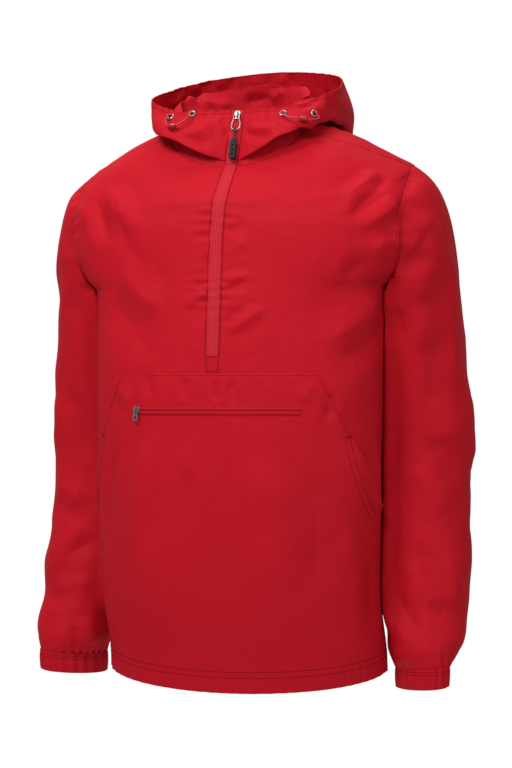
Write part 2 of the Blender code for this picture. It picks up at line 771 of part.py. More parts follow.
def build_pocket(front_sheet, cloth):
    top = (POCKET_TOP_HALF, POCKET_TOP_Z)
    planes = [(Vector((0, 0, POCKET_TOP_Z)), Vector((0, 0, 1)))]
    for _, sign in SIDES:
        planes.append(side_plane(top, POCKET_TACK, sign))
        planes.append(side_plane(POCKET_TACK, POCKET_MOUTH_END, sign))
    sheet = crop(front_sheet.copy(), planes)
    lift_pocket(sheet)
    object_of("pocket", walled(sheet, POCKET_LIFT, POCKET_LIFT + WALL), cloth)

    left, right = POCKET_ZIP_ENDS
    ends = [(Vector((left, 0, 0)), Vector((-1, 0, 0))), (Vector((right, 0, 0)), Vector((1, 0, 0)))]
    low = POCKET_LIFT + WALL + SEAM_GAP
    for name, sign in (("upper", 1), ("lower", -1)):
        near = (Vector((0, 0, POCKET_ZIP_Z + sign * SEAM_GAP / 2)), Vector((0, 0, -sign)))
        far = (Vector((0, 0, POCKET_ZIP_Z + sign * LIP_HEIGHT)), Vector((0, 0, sign)))
        lip = crop(sheet.copy(), [*ends, near, far])
        object_of(f"pocket_lip_{name}", walled(lip, low, low + LIP_WALL), cloth)
    return sheet


def build_patch(front_sheet, cloth):
    planes = [(Vector((0, 0, PATCH_TOP)), Vector((0, 0, 1)))]
    planes.append((Vector((0, 0, PATCH_BOTTOM)), Vector((0, 0, -1))))
    planes += [(Vector((sign * PATCH_HALF_WIDTH, 0, 0)), Vector((sign, 0, 0))) for _, sign in SIDES]
    patch = crop(front_sheet.copy(), planes)
    object_of("zip_end_patch", walled(patch, SEAM_GAP, SEAM_GAP + PATCH_WALL), cloth)


def build_cuff(side, sign, cloth):
    """A gathered elastic band: waves on its outer face over a plain inner one."""
    count = CUFF_GATHERS * POINTS_PER_GATHER
    twist = Matrix.Rotation(math.radians(CUFF_TWIST), 3, "Z")
    levels = (
        (CUFF_TOP - SEAM_GAP, 0.0, 1.0),
        ((CUFF_TOP + CUFF_BOTTOM) / 2, CUFF_SWELL, 1.0),
        (CUFF_BOTTOM, 0.0, CUFF_LAST_WAVE),
    )
    solid = bmesh.new()
    rings = []
    for wall in (0, CUFF_WALL):
        for z, swell, share in levels if wall == 0 else levels[::-2]:
            ring = []
            for k in range(count):
                angle = 2 * math.pi * k / count
                away = Vector((math.cos(angle), math.sin(angle), 0))
                wave = CUFF_WAVE * share * math.cos(CUFF_GATHERS * angle) if wall == 0 else 0
                point = Vector((away.x * CUFF_HALF_AXES[0], away.y * CUFF_HALF_AXES[1], z))
                point += away * (swell + wave - wall)
                point = tilt_cuff(twist @ point + CUFF_CENTRE)
                ring.append(solid.verts.new((sign * point.x, point.y, point.z)))
            rings.append(ring)
    for upper, lower in zip(rings, rings[1:] + rings[:1]):
        for k in range(count):
            after = (k + 1) % count
            solid.faces.new([upper[k], lower[k], lower[after], upper[after]])
    bmesh.ops.recalc_face_normals(solid, faces=solid.faces)
    object_of(f"cuff_{side}", solid, cloth)


# Metal, rubber and cords


def frame_on(surface, x, z, lift):
    """Where a level line from the front meets a surface: +X across, +Z up along it and -Y off it."""
    at, normal, _, _ = surface.ray_cast(Vector((x, -1, z)), Vector((0, 1, 0)))
    into = -normal
    across = into.cross(Vector((0, 0, 1))).normalized()
    frame = Matrix((across, into, across.cross(into))).transposed().to_4x4()
    return Matrix.Translation(at + normal * lift) @ frame


def prism(outline, low, high, axis="Y"):
    """An outline drawn in the plane across an axis, with its wall from low to high along it."""
    solid = bmesh.new()
    rings = []
    for level in (low, high):
        if axis == "Y":
            rings.append([solid.verts.new((a, level, b)) for a, b in outline])
        else:
            rings.append([solid.verts.new((level, a, b)) for a, b in outline])
    solid.faces.new(rings[0])
    solid.faces.new(rings[1])
    for k in range(len(outline)):
        after = (k + 1) % len(outline)
        solid.faces.new([rings[0][k], rings[0][after], rings[1][after], rings[1][k]])
    bmesh.ops.recalc_face_normals(solid, faces=solid.faces)
    return solid


def both_sides(half):
    """An outline from its right half, which runs from top to bottom."""
    return [*half, *((-x, z) for x, z in reversed(half) if x > 0)]


def oval(centre_z, half_width, half_height, points=14):
    turns = [2 * math.pi * k / points for k in range(points)]
    return [(half_width * math.sin(t), centre_z + half_height * math.cos(t)) for t in turns]


def turned(profile, steps):
    """A profile of (radius, height) points turned about Y, with its height along -Y."""
    solid = bmesh.new()
    verts = [solid.verts.new((radius, -height, 0)) for radius, height in profile]
    edges = [solid.edges.new((verts[k - 1], verts[k])) for k in range(len(verts))]
    bmesh.ops.spin(
        solid,
        geom=verts + edges,
        cent=(0, 0, 0),
        axis=(0, 1, 0),
        angle=2 * math.pi,
        steps=steps,
        use_merge=True,
    )
    bmesh.ops.recalc_face_normals(solid, faces=solid.faces)
    return solid


def joined(target, tool, operation):
    """Cuts the tool out of the target, or adds it, with the tool kept as a hidden guide."""
    tool.hide_render = True
    tool.display_type = "WIRE"
    modifier = target.modifiers.new(operation.lower(), "BOOLEAN")
    modifier.operation = operation
    modifier.object = tool


def smooth_route(points, spacing):
    """Points evenly spaced on a smooth curve through a route's own points."""
    points = [Vector(point) for point in points]
    padded = [2 * points[0] - points[1], *points, 2 * points[-1] - points[-2]]
    samples = []
    for i in range(1, len(padded) - 2):
        before, start, end, after = padded[i - 1 : i + 3]
        for t in np.linspace(0, 1, 12, endpoint=False):
            handles = (end - before) / 6, (after - start) / 6
            samples.append(bezier(start, start + handles[0], end - handles[1], end, t))
    samples.append(points[-1])
    length = sum((b - a).length for a, b in zip(samples, samples[1:]))
    return spaced(samples, round(length / spacing)), length


def cord(name, points, radius, finish, cyclic=False):
    curve = bpy.data.curves.new(name, "CURVE")
    curve.dimensions = "3D"
    curve.bevel_depth = radius
    curve.bevel_resolution = 2
    curve.use_fill_caps = True
    spline = curve.splines.new("POLY")
    spline.points.add(len(points) - 1)
    for at, point in zip(spline.points, points):
        at.co = (*point, 1)
    spline.use_cyclic_u = cyclic
    curve.materials.append(finish)
    obj = bpy.data.objects.new(name, curve)
    bpy.context.scene.collection.objects.link(obj)
    return obj


def build_drawcord(skin, side, metal, cord_red, lock_red):
    wall = EYELET_HEIGHT
    profile = (
        (EYELET_HOLE, 0),
        (EYELET_HOLE, wall * 0.6),
        ((EYELET_HOLE + EYELET_RADIUS) / 2, wall),
        (EYELET_RADIUS, wall * 0.4),
        (EYELET_RADIUS, 0),
    )
    for place, (x, z) in zip(("front", "side"), EYELETS[side]):
        eyelet = object_of(f"eyelet_{side}_{place}", turned(profile, 20), metal)
        eyelet.matrix_world = frame_on(skin, x, z, EYELET_LIFT)
    (front_x, front_z), (side_x, side_z) = EYELETS[side]
    stops = [
        (front_x, front_z, CORD_START),
        (front_x, front_z, CORD_RISE),
        *CORD_ROUTES[side],
        (side_x, side_z, CORD_RISE),
        (side_x, side_z, CORD_START),
    ]
    route = [frame_on(skin, x, z, lift).translation for x, z, lift in stops]
    start, end = route[4:6]
    route[5:5] = [start.lerp(end, 1 / 3), start.lerp(end, 2 / 3)]
    points, length = smooth_route(route, 2.5 * CORD_RADIUS)
    print(f"drawcord_{side}: {length * 1000:.1f} mm over", *(tuple(round(v, 4) for v in p) for p in route))
    cord(f"drawcord_{side}", points, CORD_RADIUS, cord_red)

    half = LOCK_LENGTH / 2
    barrel = (
        (LOCK_BORE, -half),
        (LOCK_BORE, half),
        (LOCK_RADIUS * 0.75, half),
        (LOCK_RADIUS, half * 0.45),
        (LOCK_RADIUS, -half * 0.45),
        (LOCK_RADIUS * 0.75, -half),
    )
    lock = object_of(f"cord_lock_{side}", turned(barrel, 18), lock_red)
    turn = (end - start).to_track_quat("Y", "Z").to_matrix().to_4x4()
    lock.matrix_world = Matrix.Translation((start + end) / 2) @ turn


def bail(name, base, finish):
    """A bridge over a slider, seen from its side as (y, z), with its feet sunk in the plate at base."""
    hole = base + BAIL_HOLE
    top = hole + BAIL_WALL
    foot = base - SLIDER_PLATE / 3
    long, short = BAIL_HALF_LENGTH, BAIL_HALF_LENGTH - BAIL_WALL
    bevel = BAIL_WALL * 0.7
    outline = (
        (-foot, long),
        (bevel - top, long),
        (-top, long - bevel),
        (-top, bevel - long),
        (bevel - top, -long),
        (-foot, -long),
        (-foot, -short),
        (-hole, -short),
        (-hole, short),
        (-foot, short),
    )
    return object_of(name, prism(outline, -BAIL_WIDTH / 2, BAIL_WIDTH / 2, "X"), finish)


def build_slider(name, outline, plate, frame, finish):
    """A slider with its bail. The axis of its pull lies in the middle of the bail's hole."""
    slider = object_of(name, prism(outline, -plate, 0), finish)
    bridge = bail(f"{name} bail", plate, finish)
    joined(slider, bridge, "UNION")
    for obj in (slider, bridge):
        obj.matrix_world = frame
    return frame @ Vector((0, -plate - BAIL_HOLE / 2, 0))


def hang(name, slider_frame, axis_point, slope):
    """An empty on a slider's axis, tipped so that what hangs from it slopes away from the body."""
    across, up = slider_frame.col[0].xyz, Vector((0, 0, 1))
    level = Matrix((across, up.cross(across), up)).transposed().to_4x4()
    empty = bpy.data.objects.new(name, None)
    bpy.context.scene.collection.objects.link(empty)
    tip = Matrix.Rotation(math.radians(-slope), 4, "X")
    empty.matrix_world = Matrix.Translation(axis_point) @ level @ tip
    print(name, "axis at", *(round(v, 5) for v in axis_point), "along", *(round(v, 4) for v in across))
    return empty


def build_pull(hanger, steel, cord_black, rubber):
    half = RING_OUTLINE
    around = [*half, *((-x, z) for x, z in reversed(half[1:-1]))]
    ring = cord("pull_ring", [(x, 0, z) for x, z in around], RING_WIRE, steel, cyclic=True)
    route, _ = smooth_route(LOOP_ROUTE, 2.5 * LOOP_RADIUS)
    loop = cord("pull_loop", route, LOOP_RADIUS, cord_black)
    thick = GRIP_THICKNESS / 2
    grip = object_of("pull_grip", prism(both_sides(GRIP_OUTLINE), -thick, thick), rubber)
    holes = []
    for number, (z, radius) in enumerate(GRIP_HOLES):
        cutter = prism(oval(z, radius, radius, 10), -GRIP_THICKNESS, GRIP_THICKNESS)
        holes.append(object_of(f"grip hole {number}", cutter, rubber))
        joined(grip, holes[-1], "DIFFERENCE")
    for piece in (ring, loop, grip, *holes):
        piece.parent = hanger


def build_tab(hanger, steel):
    thick = TAB_THICKNESS / 2
    tab = object_of("pocket_tab", prism(both_sides(TAB_OUTLINE), -thick, thick), steel)
    window = object_of("tab window", prism(TAB_WINDOW, -2 * thick, 2 * thick), steel)
    hole = object_of("tab hole", prism(oval(*TAB_HOLE), -2 * thick, 2 * thick), steel)
    for cutter in (window, hole):
        joined(tab, cutter, "DIFFERENCE")
    for piece in (tab, window, hole):
        piece.parent = hanger


clear_scene()
red_cloth = material("red nylon", (0.44, 0.012, 0.020), 0.55)
tape_cloth = material("zip tape", (0.50, 0.022, 0.035), 0.65)
steel = material("steel", (0.62, 0.61, 0.58), 0.30, 1.0)
rubber = material("black rubber", (0.020, 0.020, 0.022), 0.60)
cord_black = material("black cord", (0.035, 0.035, 0.040), 0.80)
cord_red = material("red cord", (0.40, 0.015, 0.022), 0.70)
lock_red = material("red plastic", (0.42, 0.010, 0.018), 0.35)

shell = build_shell()
skin = BVHTree.FromBMesh(shell)
shifts = seam_shifts(shell)
for panel in PANELS:
    sheet = cut_panel(shell, panel, shifts)
    if panel == "front":
        front_sheet = sheet.copy()
    finish = tape_cloth if panel.startswith("zip_tape") else red_cloth
    object_of(panel, walled(sheet, -WALL, 0), finish)
pocket_sheet = build_pocket(front_sheet, red_cloth)
build_patch(front_sheet, red_cloth)
for side, sign in SIDES:
    build_cuff(side, sign, red_cloth)

for side, _ in SIDES:
    build_drawcord(skin, side, steel, cord_red, lock_red)

slider_frame = frame_on(skin, *SLIDER_PLACE, SLIDER_LIFT)
pull_axis = build_slider("slider", SLIDER_OUTLINE, SLIDER_PLATE, slider_frame, steel)
build_pull(hang("pull hanger", slider_frame, pull_axis, PULL_SLOPE), steel, cord_black, rubber)

pocket_skin = BVHTree.FromBMesh(pocket_sheet)
off_pocket = POCKET_LIFT + WALL + SEAM_GAP + LIP_WALL + SLIDER_LIFT
tab_frame = frame_on(pocket_skin, *POCKET_SLIDER_PLACE, off_pocket)
tab_axis = build_slider("pocket_slider", POCKET_SLIDER_OUTLINE, POCKET_SLIDER_PLATE, tab_frame, steel)
build_tab(hang("tab hanger", tab_frame, tab_axis, TAB_SLOPE), steel)
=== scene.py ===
# %% [markdown]
# # A hooded anorak pullover in red nylon
# The solids of the garment are already made: panels with a real wall, metal, rubber and cords, all in
# metres and in one frame. This lesson dresses them. Each cloth panel becomes a fine shell with creases
# and seams, and each small fitting gets rounded edges and a finish of its own.

# %% Load the frame
import math
from collections import namedtuple

import bmesh
import bpy
import numpy as np
from mathutils import Matrix, Vector, noise
from mathutils.bvhtree import BVHTree


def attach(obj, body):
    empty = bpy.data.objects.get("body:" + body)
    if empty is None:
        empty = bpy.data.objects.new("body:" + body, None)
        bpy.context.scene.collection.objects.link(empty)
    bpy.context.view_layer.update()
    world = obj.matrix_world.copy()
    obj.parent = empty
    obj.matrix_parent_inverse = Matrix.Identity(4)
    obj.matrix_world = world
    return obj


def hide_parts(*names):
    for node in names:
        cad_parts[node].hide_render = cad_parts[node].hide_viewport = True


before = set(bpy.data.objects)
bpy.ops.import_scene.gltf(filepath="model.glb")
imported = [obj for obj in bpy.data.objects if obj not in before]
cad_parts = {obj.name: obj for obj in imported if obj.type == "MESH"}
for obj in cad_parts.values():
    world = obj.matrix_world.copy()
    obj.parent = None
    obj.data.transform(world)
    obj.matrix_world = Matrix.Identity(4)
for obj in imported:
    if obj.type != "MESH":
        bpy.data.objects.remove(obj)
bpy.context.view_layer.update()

MM = 0.001

# %% [markdown]
# The garment is seen a little from its wearer's left, level with its waist, from far enough away that
# the sleeves hardly spread. A long lens does that. The small shifts place the garment in the frame
# without tilting the camera, so that upright lines stay upright.

# %% Camera
VIEW_AZIMUTH = 18
VIEW_DISTANCE = 2.5
EYE_LEVEL = -0.340
FRAME_HEIGHT = 768
LENS = 87.45
SHIFT = (13, 6)


def eye_at(azimuth):
    """The place of an eye that looks level at the garment's middle from an azimuth in degrees."""
    turn = math.radians(azimuth)
    return Vector((math.sin(turn) * VIEW_DISTANCE, -math.cos(turn) * VIEW_DISTANCE, EYE_LEVEL))


camera = bpy.data.objects.new("camera", bpy.data.cameras.new("camera"))
bpy.context.scene.collection.objects.link(camera)
camera.location = eye_at(VIEW_AZIMUTH)
camera.rotation_euler = (math.pi / 2, 0, math.radians(VIEW_AZIMUTH))
camera.data.lens = LENS
camera.data.shift_x, camera.data.shift_y = (pixels / FRAME_HEIGHT for pixels in SHIFT)
bpy.context.scene.camera = camera
print("camera at", tuple(round(value, 3) for value in camera.location))

# %% [markdown]
# Red nylon shows its folds only under light that comes mostly from one side. A large panel above the
# wearer's right shoulder does the modelling, a weaker one on the left fills the shadows, and a low
# even sky keeps them from going black. A soft spot lifts the chest, where the cloth lies flattest, and
# a panel behind models the back. Rays that go straight to the camera see plain white.

# %% Light and floor
SKY_STRENGTH = 0.32
SPOT_CONE = math.radians(26)
CHEST_LEVEL = -0.20
FLOOR_LEVEL = -1.45
FLOOR_RADIUS = 1.2

world = bpy.data.worlds.new("studio")
bpy.context.scene.world = world
world.use_nodes = True
nodes, links = world.node_tree.nodes, world.node_tree.links
sky = nodes["Background"]
sky.inputs["Strength"].default_value = SKY_STRENGTH
sky.inputs["Color"].default_value = (1, 1, 1, 1)
backdrop = nodes.new("ShaderNodeBackground")
backdrop.inputs["Color"].default_value = (1, 1, 1, 1)
ray = nodes.new("ShaderNodeLightPath")
pick = nodes.new("ShaderNodeMixShader")
links.new(ray.outputs["Is Camera Ray"], pick.inputs["Fac"])
links.new(sky.outputs["Background"], pick.inputs[1])
links.new(backdrop.outputs["Background"], pick.inputs[2])
links.new(pick.outputs["Shader"], nodes["World Output"].inputs["Surface"])

Lamp = namedtuple("Lamp", "name kind place size power aim_level")
LAMPS = (
    Lamp("key", "AREA", (-1.0, -1.9, 2.0), 1.0, 48, EYE_LEVEL),
    Lamp("fill", "AREA", (2.2, -2.0, 0.4), 1.6, 15, EYE_LEVEL),
    Lamp("top", "AREA", (0.1, 0.5, 2.4), 1.4, 22, EYE_LEVEL),
    Lamp("back", "AREA", (-1.8, 2.0, 1.5), 1.0, 60, EYE_LEVEL),
    Lamp("chest spot", "SPOT", (0.2, -2.6, 1.5), 0.4, 158, CHEST_LEVEL),
)
for lamp in LAMPS:
    bulb = bpy.data.lights.new(lamp.name, lamp.kind)
    bulb.energy = lamp.power
    if lamp.kind == "SPOT":
        bulb.spot_size = SPOT_CONE
        bulb.spot_blend = 1.0
        bulb.shadow_soft_size = lamp.size
    else:
        bulb.size = lamp.size
    light = bpy.data.objects.new(lamp.name, bulb)
    light.location = lamp.place
    aim = Vector((0, 0, lamp.aim_level)) - light.location
    light.rotation_euler = aim.to_track_quat("-Z", "Y").to_euler()
    # Seen edge-on, the hood's side would mirror the panel behind it as a white streak.
    light.visible_glossy = lamp.name != "back"
    bpy.context.scene.collection.objects.link(light)
bpy.context.scene.view_settings.view_transform = "Standard"


def new_material(name, colour, roughness, metallic=0.0):
    """A node material with its even values on the shader's own sockets."""
    made = bpy.data.materials.new(name)
    made.use_nodes = True
    shader = made.node_tree.nodes["Principled BSDF"]
    shader.inputs["Base Color"].default_value = (*colour, 1)
    shader.inputs["Roughness"].default_value = roughness
    shader.inputs["Metallic"].default_value = metallic
    return made


def add_piece(name, mesh, material, smooth_to=40):
    """An object at the origin for a mesh or a bmesh, shaded smooth up to an angle."""
    if isinstance(mesh, bmesh.types.BMesh):
        made = bpy.data.meshes.new(name)
        mesh.to_mesh(made)
        mesh.free()
        mesh = made
    mesh.name = name
    mesh.materials.clear()
    mesh.materials.append(material)
    mesh.shade_smooth()
    mesh.set_sharp_from_angle(angle=math.radians(smooth_to))
    piece = bpy.data.objects.new(name, mesh)
    bpy.context.scene.collection.objects.link(piece)
    return piece


def hand_over(piece, body="body", node=None):
    """Tells the frame where a finished piece belongs, and which solid it stands in for."""
    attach(piece, body)
    if node:
        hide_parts(node)


floor_mesh = bmesh.new()
floor_place = Matrix.Translation((0, 0, FLOOR_LEVEL))
bmesh.ops.create_circle(floor_mesh, cap_ends=True, segments=96, radius=FLOOR_RADIUS, matrix=floor_place)
floor = add_piece("floor", floor_mesh, new_material("floor paint", (0.86, 0.86, 0.86), 0.9))
print("lights:", len(LAMPS))

# %% [markdown]
# Packable nylon is a very fine plain weave with a soft, slightly dry shine. Its threads are a third of
# a millimetre apart, so they belong in the bump, drawn along the cloth by a map of their own. A second,
# larger bump gives the tiny crinkles that stay in such cloth, and a slow noise varies the dye a little.

# %% Finishes of cloth
RED = (0.520, 0.0085, 0.0190)
RED_DEEP = (0.460, 0.0070, 0.0155)
SHEEN_TINT = (1.0, 0.20, 0.24, 1)
NYLON_SPECULAR = 0.05
NYLON_SHEEN = 0.01
DYE_SCALE = 9.0
CRINKLE_SCALE = 70.0
THREAD_HEIGHT = 0.04 * MM


def blended(tree, factor, first, second):
    """A colour between two, by a factor that varies over the surface."""
    mix = tree.nodes.new("ShaderNodeMix")
    mix.data_type = "RGBA"
    tree.links.new(factor, mix.inputs["Factor"])
    mix.inputs["A"].default_value = (*first, 1)
    mix.inputs["B"].default_value = (*second, 1)
    return mix.outputs["Result"]


def noise_at(tree, vector, scale, detail=2.0):
    """A noise between 0 and 1 at a place, its scale in waves a metre."""
    made = tree.nodes.new("ShaderNodeTexNoise")
    made.inputs["Scale"].default_value = scale
    made.inputs["Detail"].default_value = detail
    tree.links.new(vector, made.inputs["Vector"])
    return made.outputs["Fac"]


def bumped(tree, height, distance, strength=1.0, below=None):
    """A bump of a real height in metres, laid over another one."""
    made = tree.nodes.new("ShaderNodeBump")
    made.inputs["Distance"].default_value = distance
    made.inputs["Strength"].default_value = strength
    tree.links.new(height, made.inputs["Height"])
    if below is not None:
        tree.links.new(below, made.inputs["Normal"])
    return made.outputs["Normal"]


def woven(tree, thread):
    """The height of a plain weave along the map called weave, whose units are metres."""
    along = tree.nodes.new("ShaderNodeUVMap")
    along.uv_map = "weave"
    waves = []
    for direction in ("X", "Y"):
        wave = tree.nodes.new("ShaderNodeTexWave")
        wave.wave_type = "BANDS"
        wave.bands_direction = direction
        # At a scale of 1 its bands are pi / 10 apart.
        wave.inputs["Scale"].default_value = math.pi / (10 * thread)
        wave.inputs["Distortion"].default_value = 0.6
        tree.links.new(along.outputs["UV"], wave.inputs["Vector"])
        waves.append(wave.outputs["Fac"])
    cross = tree.nodes.new("ShaderNodeMath")
    cross.operation = "MAXIMUM"
    for socket, wave in zip(cross.inputs, waves):
        tree.links.new(wave, socket)
    return cross.outputs[0]


def nylon(name, bright, deep, roughness, crinkle, thread=0.35 * MM):
    """A woven finish: its dye varies a little, and crinkle and thread are real sizes in metres."""
    made = new_material(name, bright, roughness)
    tree = made.node_tree
    shader = tree.nodes["Principled BSDF"]
    shader.inputs["Specular IOR Level"].default_value = NYLON_SPECULAR
    shader.inputs["Sheen Weight"].default_value = NYLON_SHEEN
    shader.inputs["Sheen Roughness"].default_value = 0.45
    shader.inputs["Sheen Tint"].default_value = SHEEN_TINT
    place = tree.nodes.new("ShaderNodeTexCoord").outputs["Object"]
    tree.links.new(blended(tree, noise_at(tree, place, DYE_SCALE), bright, deep), shader.inputs["Base Color"])
    small = bumped(tree, noise_at(tree, place, CRINKLE_SCALE, 3.0), crinkle)
    fine = bumped(tree, woven(tree, thread), THREAD_HEIGHT, 0.6, small)
    tree.links.new(fine, shader.inputs["Normal"])
    return made


red_nylon = nylon("red nylon", RED, RED_DEEP, 0.56, 1.1 * MM)
gathered_nylon = nylon("gathered red nylon", RED, RED_DEEP, 0.54, 1.6 * MM)
tape_red = nylon("zip tape", (0.540, 0.020, 0.034), (0.480, 0.016, 0.028), 0.70, 0.3 * MM, 0.6 * MM)
coil_red = nylon("zip coil", (0.620, 0.048, 0.068), (0.560, 0.040, 0.058), 0.55, 0.2 * MM, 0.6 * MM)
# The thread is much darker than the cloth. That darkness is painted shade for the groove and needle holes
# that the stitches sink into.
thread_red_painted_shade = nylon("red thread with painted groove shade", (0.190, 0.0025, 0.0060), (0.150, 0.0020, 0.0050), 0.60, 0.1 * MM, 0.2 * MM)
print("cloth finishes ready")

# %% [markdown]
# Every panel's solid is a wall with an outer and an inner face, joined by a rim. For the shell, only
# the outer face is wanted. The rim is easy to find, because only its triangles have an edge as long as
# the wall is thick. Once the rim is gone, the two faces fall apart, and the one nearer to a point
# outside the garment is kept.

# %% The outer face of each panel
WALL = 1.5 * MM
SAME_PLACE = 0.02 * MM
OUTSIDE = {
    "front": (0, -1, -0.4),
    "back": (0, 1, -0.4),
    "sleeve_left": (1, 0, -0.4),
    "sleeve_right": (-1, 0, -0.4),
    "hood_left": (0.2, 0, 0.03),
    "hood_right": (-0.2, 0, 0.03),
    "zip_tape_left": (0, -1, -0.1),
    "zip_tape_right": (0, -1, -0.1),
}
NAMES = list(OUTSIDE)


def merged_copy(node):
    """A node's mesh as a bmesh whose triangles share their corners."""
    copy = bmesh.new()
    copy.from_mesh(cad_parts[node].data)
    bmesh.ops.remove_doubles(copy, verts=copy.verts[:], dist=SAME_PLACE)
    return copy


def mesh_of(shape):
    """A mesh that takes over a bmesh."""
    made = bpy.data.meshes.new("guide")
    shape.to_mesh(made)
    shape.free()
    return made


def joined_to(start):
    """All the vertices that a vertex is joined to."""
    found, waiting = {start}, [start]
    while waiting:
        for edge in waiting.pop().link_edges:
            for vert in edge.verts:
                if vert not in found:
                    found.add(vert)
                    waiting.append(vert)
    return found


def pair_triangles(mesh, bend):
    """Joins triangles back into the four-sided faces that they came from, up to a bend in degrees."""
    bmesh.ops.join_triangles(
        mesh,
        faces=mesh.faces[:],
        angle_face_threshold=math.radians(bend),
        angle_shape_threshold=math.radians(120),
        topology_influence=1.0,
    )


def outer_face(node):
    """The outer face of a panel's wall, as a bmesh of four-sided faces."""
    sheet = merged_copy(node)
    rim = [f for f in sheet.faces if any(abs(e.calc_length() - WALL) < SAME_PLACE for e in f.edges)]
    bmesh.ops.delete(sheet, geom=rim, context="FACES")
    outside = Vector(OUTSIDE[node])
    kept = joined_to(min(sheet.verts, key=lambda vert: (vert.co - outside).length))
    bmesh.ops.delete(sheet, geom=[vert for vert in sheet.verts if vert not in kept], context="VERTS")
    pair_triangles(sheet, 70)
    for face in sheet.faces:
        face.material_index = NAMES.index(node)
    return sheet


# %% [markdown]
# The outer faces are sewn into one shell before they are made finer, so that a fold can run over a
# seam without a step. Subdivision rounds the panels, but it also pulls them in. The coarse points are
# therefore pushed out by what they lost, and the surface is made again: now it passes through them.
# Across the chest the coarse rows are eased first, because nylon spans softly from arm to arm.

# %% One fine shell
SEAM_REACH = 1.8 * MM
FINENESS = 3
CHEST_LEVELS = (-0.34, -0.10)
CHEST_PASSES = 5


def subdivided(mesh, levels):
    """The mesh on its smooth limit surface, with the coarse points first."""
    guide = bpy.data.objects.new("guide", mesh)
    bpy.context.scene.collection.objects.link(guide)
    finer = guide.modifiers.new("Subdivision", "SUBSURF")
    finer.levels = finer.render_levels = levels
    finer.boundary_smooth = "PRESERVE_CORNERS"
    finer.use_limit_surface = True
    bpy.context.view_layer.update()
    result = bpy.data.meshes.new_from_object(guide.evaluated_get(bpy.context.evaluated_depsgraph_get()))
    bpy.data.objects.remove(guide)
    return result


def places(mesh, attribute="co"):
    """The places of a mesh's points, or their directions, as an array."""
    flat = np.empty(len(mesh.vertices) * 3)
    mesh.vertices.foreach_get(attribute, flat)
    return flat.reshape(-1, 3)


def through_its_points(mesh, levels):
    """Subdivides so that the smooth surface passes through the coarse points."""
    wanted = places(mesh)
    control = wanted.copy()
    for _ in range(2):
        reached = places(subdivided(mesh, 1))[: len(wanted)]
        control += wanted - reached
        mesh.vertices.foreach_set("co", control.ravel())
        mesh.update()
    return subdivided(mesh, levels)


sewn = bmesh.new()
for name in NAMES:
    sewn.from_mesh(mesh_of(outer_face(name)))
    corners = [len(face.verts) for face in sewn.faces if face.material_index == NAMES.index(name)]
    print(name, "faces:", corners.count(4), "of four sides,", corners.count(3), "of three")
bmesh.ops.remove_doubles(sewn, verts=[vert for vert in sewn.verts if vert.is_boundary], dist=SEAM_REACH)
torso_numbers = {NAMES.index("front"), NAMES.index("back")}
for _ in range(CHEST_PASSES):
    slack_verts = [
        vert
        for vert in sewn.verts
        if CHEST_LEVELS[0] < vert.co.z < CHEST_LEVELS[1]
        and len({face.material_index for face in vert.link_faces}) == 1
        and vert.link_faces[0].material_index in torso_numbers
    ]
    bmesh.ops.smooth_vert(sewn, verts=slack_verts, factor=0.5, use_axis_y=True)
coarse = mesh_of(sewn)
for _ in NAMES:
    coarse.materials.append(red_nylon)
shell = through_its_points(coarse, FINENESS)
print("shell:", len(shell.vertices), "points")

# %% [markdown]
# A crease in cloth is a long soft trough or ridge with a shallow answer on each side. It is drawn here
# as someone would sketch it: as a line on the garment, seen from one side. The line is dropped onto the
# shell, and points near it are pushed in or out. The push fades towards the line's ends, and it stays
# on the parts of the garment that the line touches, so that a crease in a sleeve leaves the body alone.

# %% How a crease is pressed
TORSO = ("front", "back", "zip_tape_left", "zip_tape_right")
GROUPS = (TORSO, ("sleeve_left",), ("sleeve_right",), ("hood_left", "hood_right"))
SLEEVE_GROUPS = (1, 2)
# Measured in a crease's widths: how far it is felt, where its answer lies, and its own width at places
FELT = 3.4
ANSWER_AT, ANSWER_SPREAD = 2.0, 0.7
END_WIDTH, MIDDLE_WIDTH = 0.75, 1.25
ANSWER = 0.28
CRISPNESS = 1.35
LONG_WAVE, SHORT_WAVE = 0.22, 0.12
FADE_IN, FADE_OUT = 0.28, 0.32
Fold = namedtuple("Fold", "azimuth width height path")


def group_of(panel):
    """The number of the group that a panel moves with."""
    return next(number for number, names in enumerate(GROUPS) if NAMES[panel] in names)


def read_shell():
    """The shell's points, their outward directions, the group of each and a tree to drop lines on."""
    points, normals = places(shell), places(shell, "normal")
    group = np.zeros(len(points), int)
    panels = np.empty(len(shell.polygons), int)
    shell.polygons.foreach_get("material_index", panels)
    corners = np.empty(len(shell.loops), int)
    shell.loops.foreach_get("vertex_index", corners)
    sides = np.empty(len(shell.polygons), int)
    shell.polygons.foreach_get("loop_total", sides)
    group[corners] = np.repeat([group_of(panel) for panel in panels], sides)
    tree = BVHTree.FromPolygons(points.tolist(), [list(face.vertices) for face in shell.polygons])
    return points, normals, group, tree, panels


points, normals, group, tree, panels = read_shell()


def rounded(path, parts=8):
    """A smooth line through a few points."""
    path = [np.array(point, float) for point in path]
    padded = [2 * path[0] - path[1], *path, 2 * path[-1] - path[-2]]
    line = []
    for before, start, end, after in zip(padded, padded[1:], padded[2:], padded[3:]):
        for t in np.linspace(0, 1, parts, endpoint=False):
            square = (2 * before - 5 * start + 4 * end - after) * t**2
            cube = (3 * start - before - 3 * end + after) * t**3
            line.append(0.5 * (2 * start + (end - before) * t + square + cube))
    return [*line, path[-1]]


def dropped(azimuth, path):
    """The points of the shell under a line of (across, height) in millimetres, and their groups."""
    turn, eye = math.radians(azimuth), eye_at(azimuth)
    right = Vector((math.cos(turn), math.sin(turn), 0))
    line, touched = [], set()
    for across, height in rounded(path):
        aim = right * across * MM + Vector((0, 0, height * MM))
        at, _, face, _ = tree.ray_cast(eye, aim - eye)
        if at is not None:
            line.append(np.array(at))
            touched.add(group_of(panels[face]))
    return line, touched


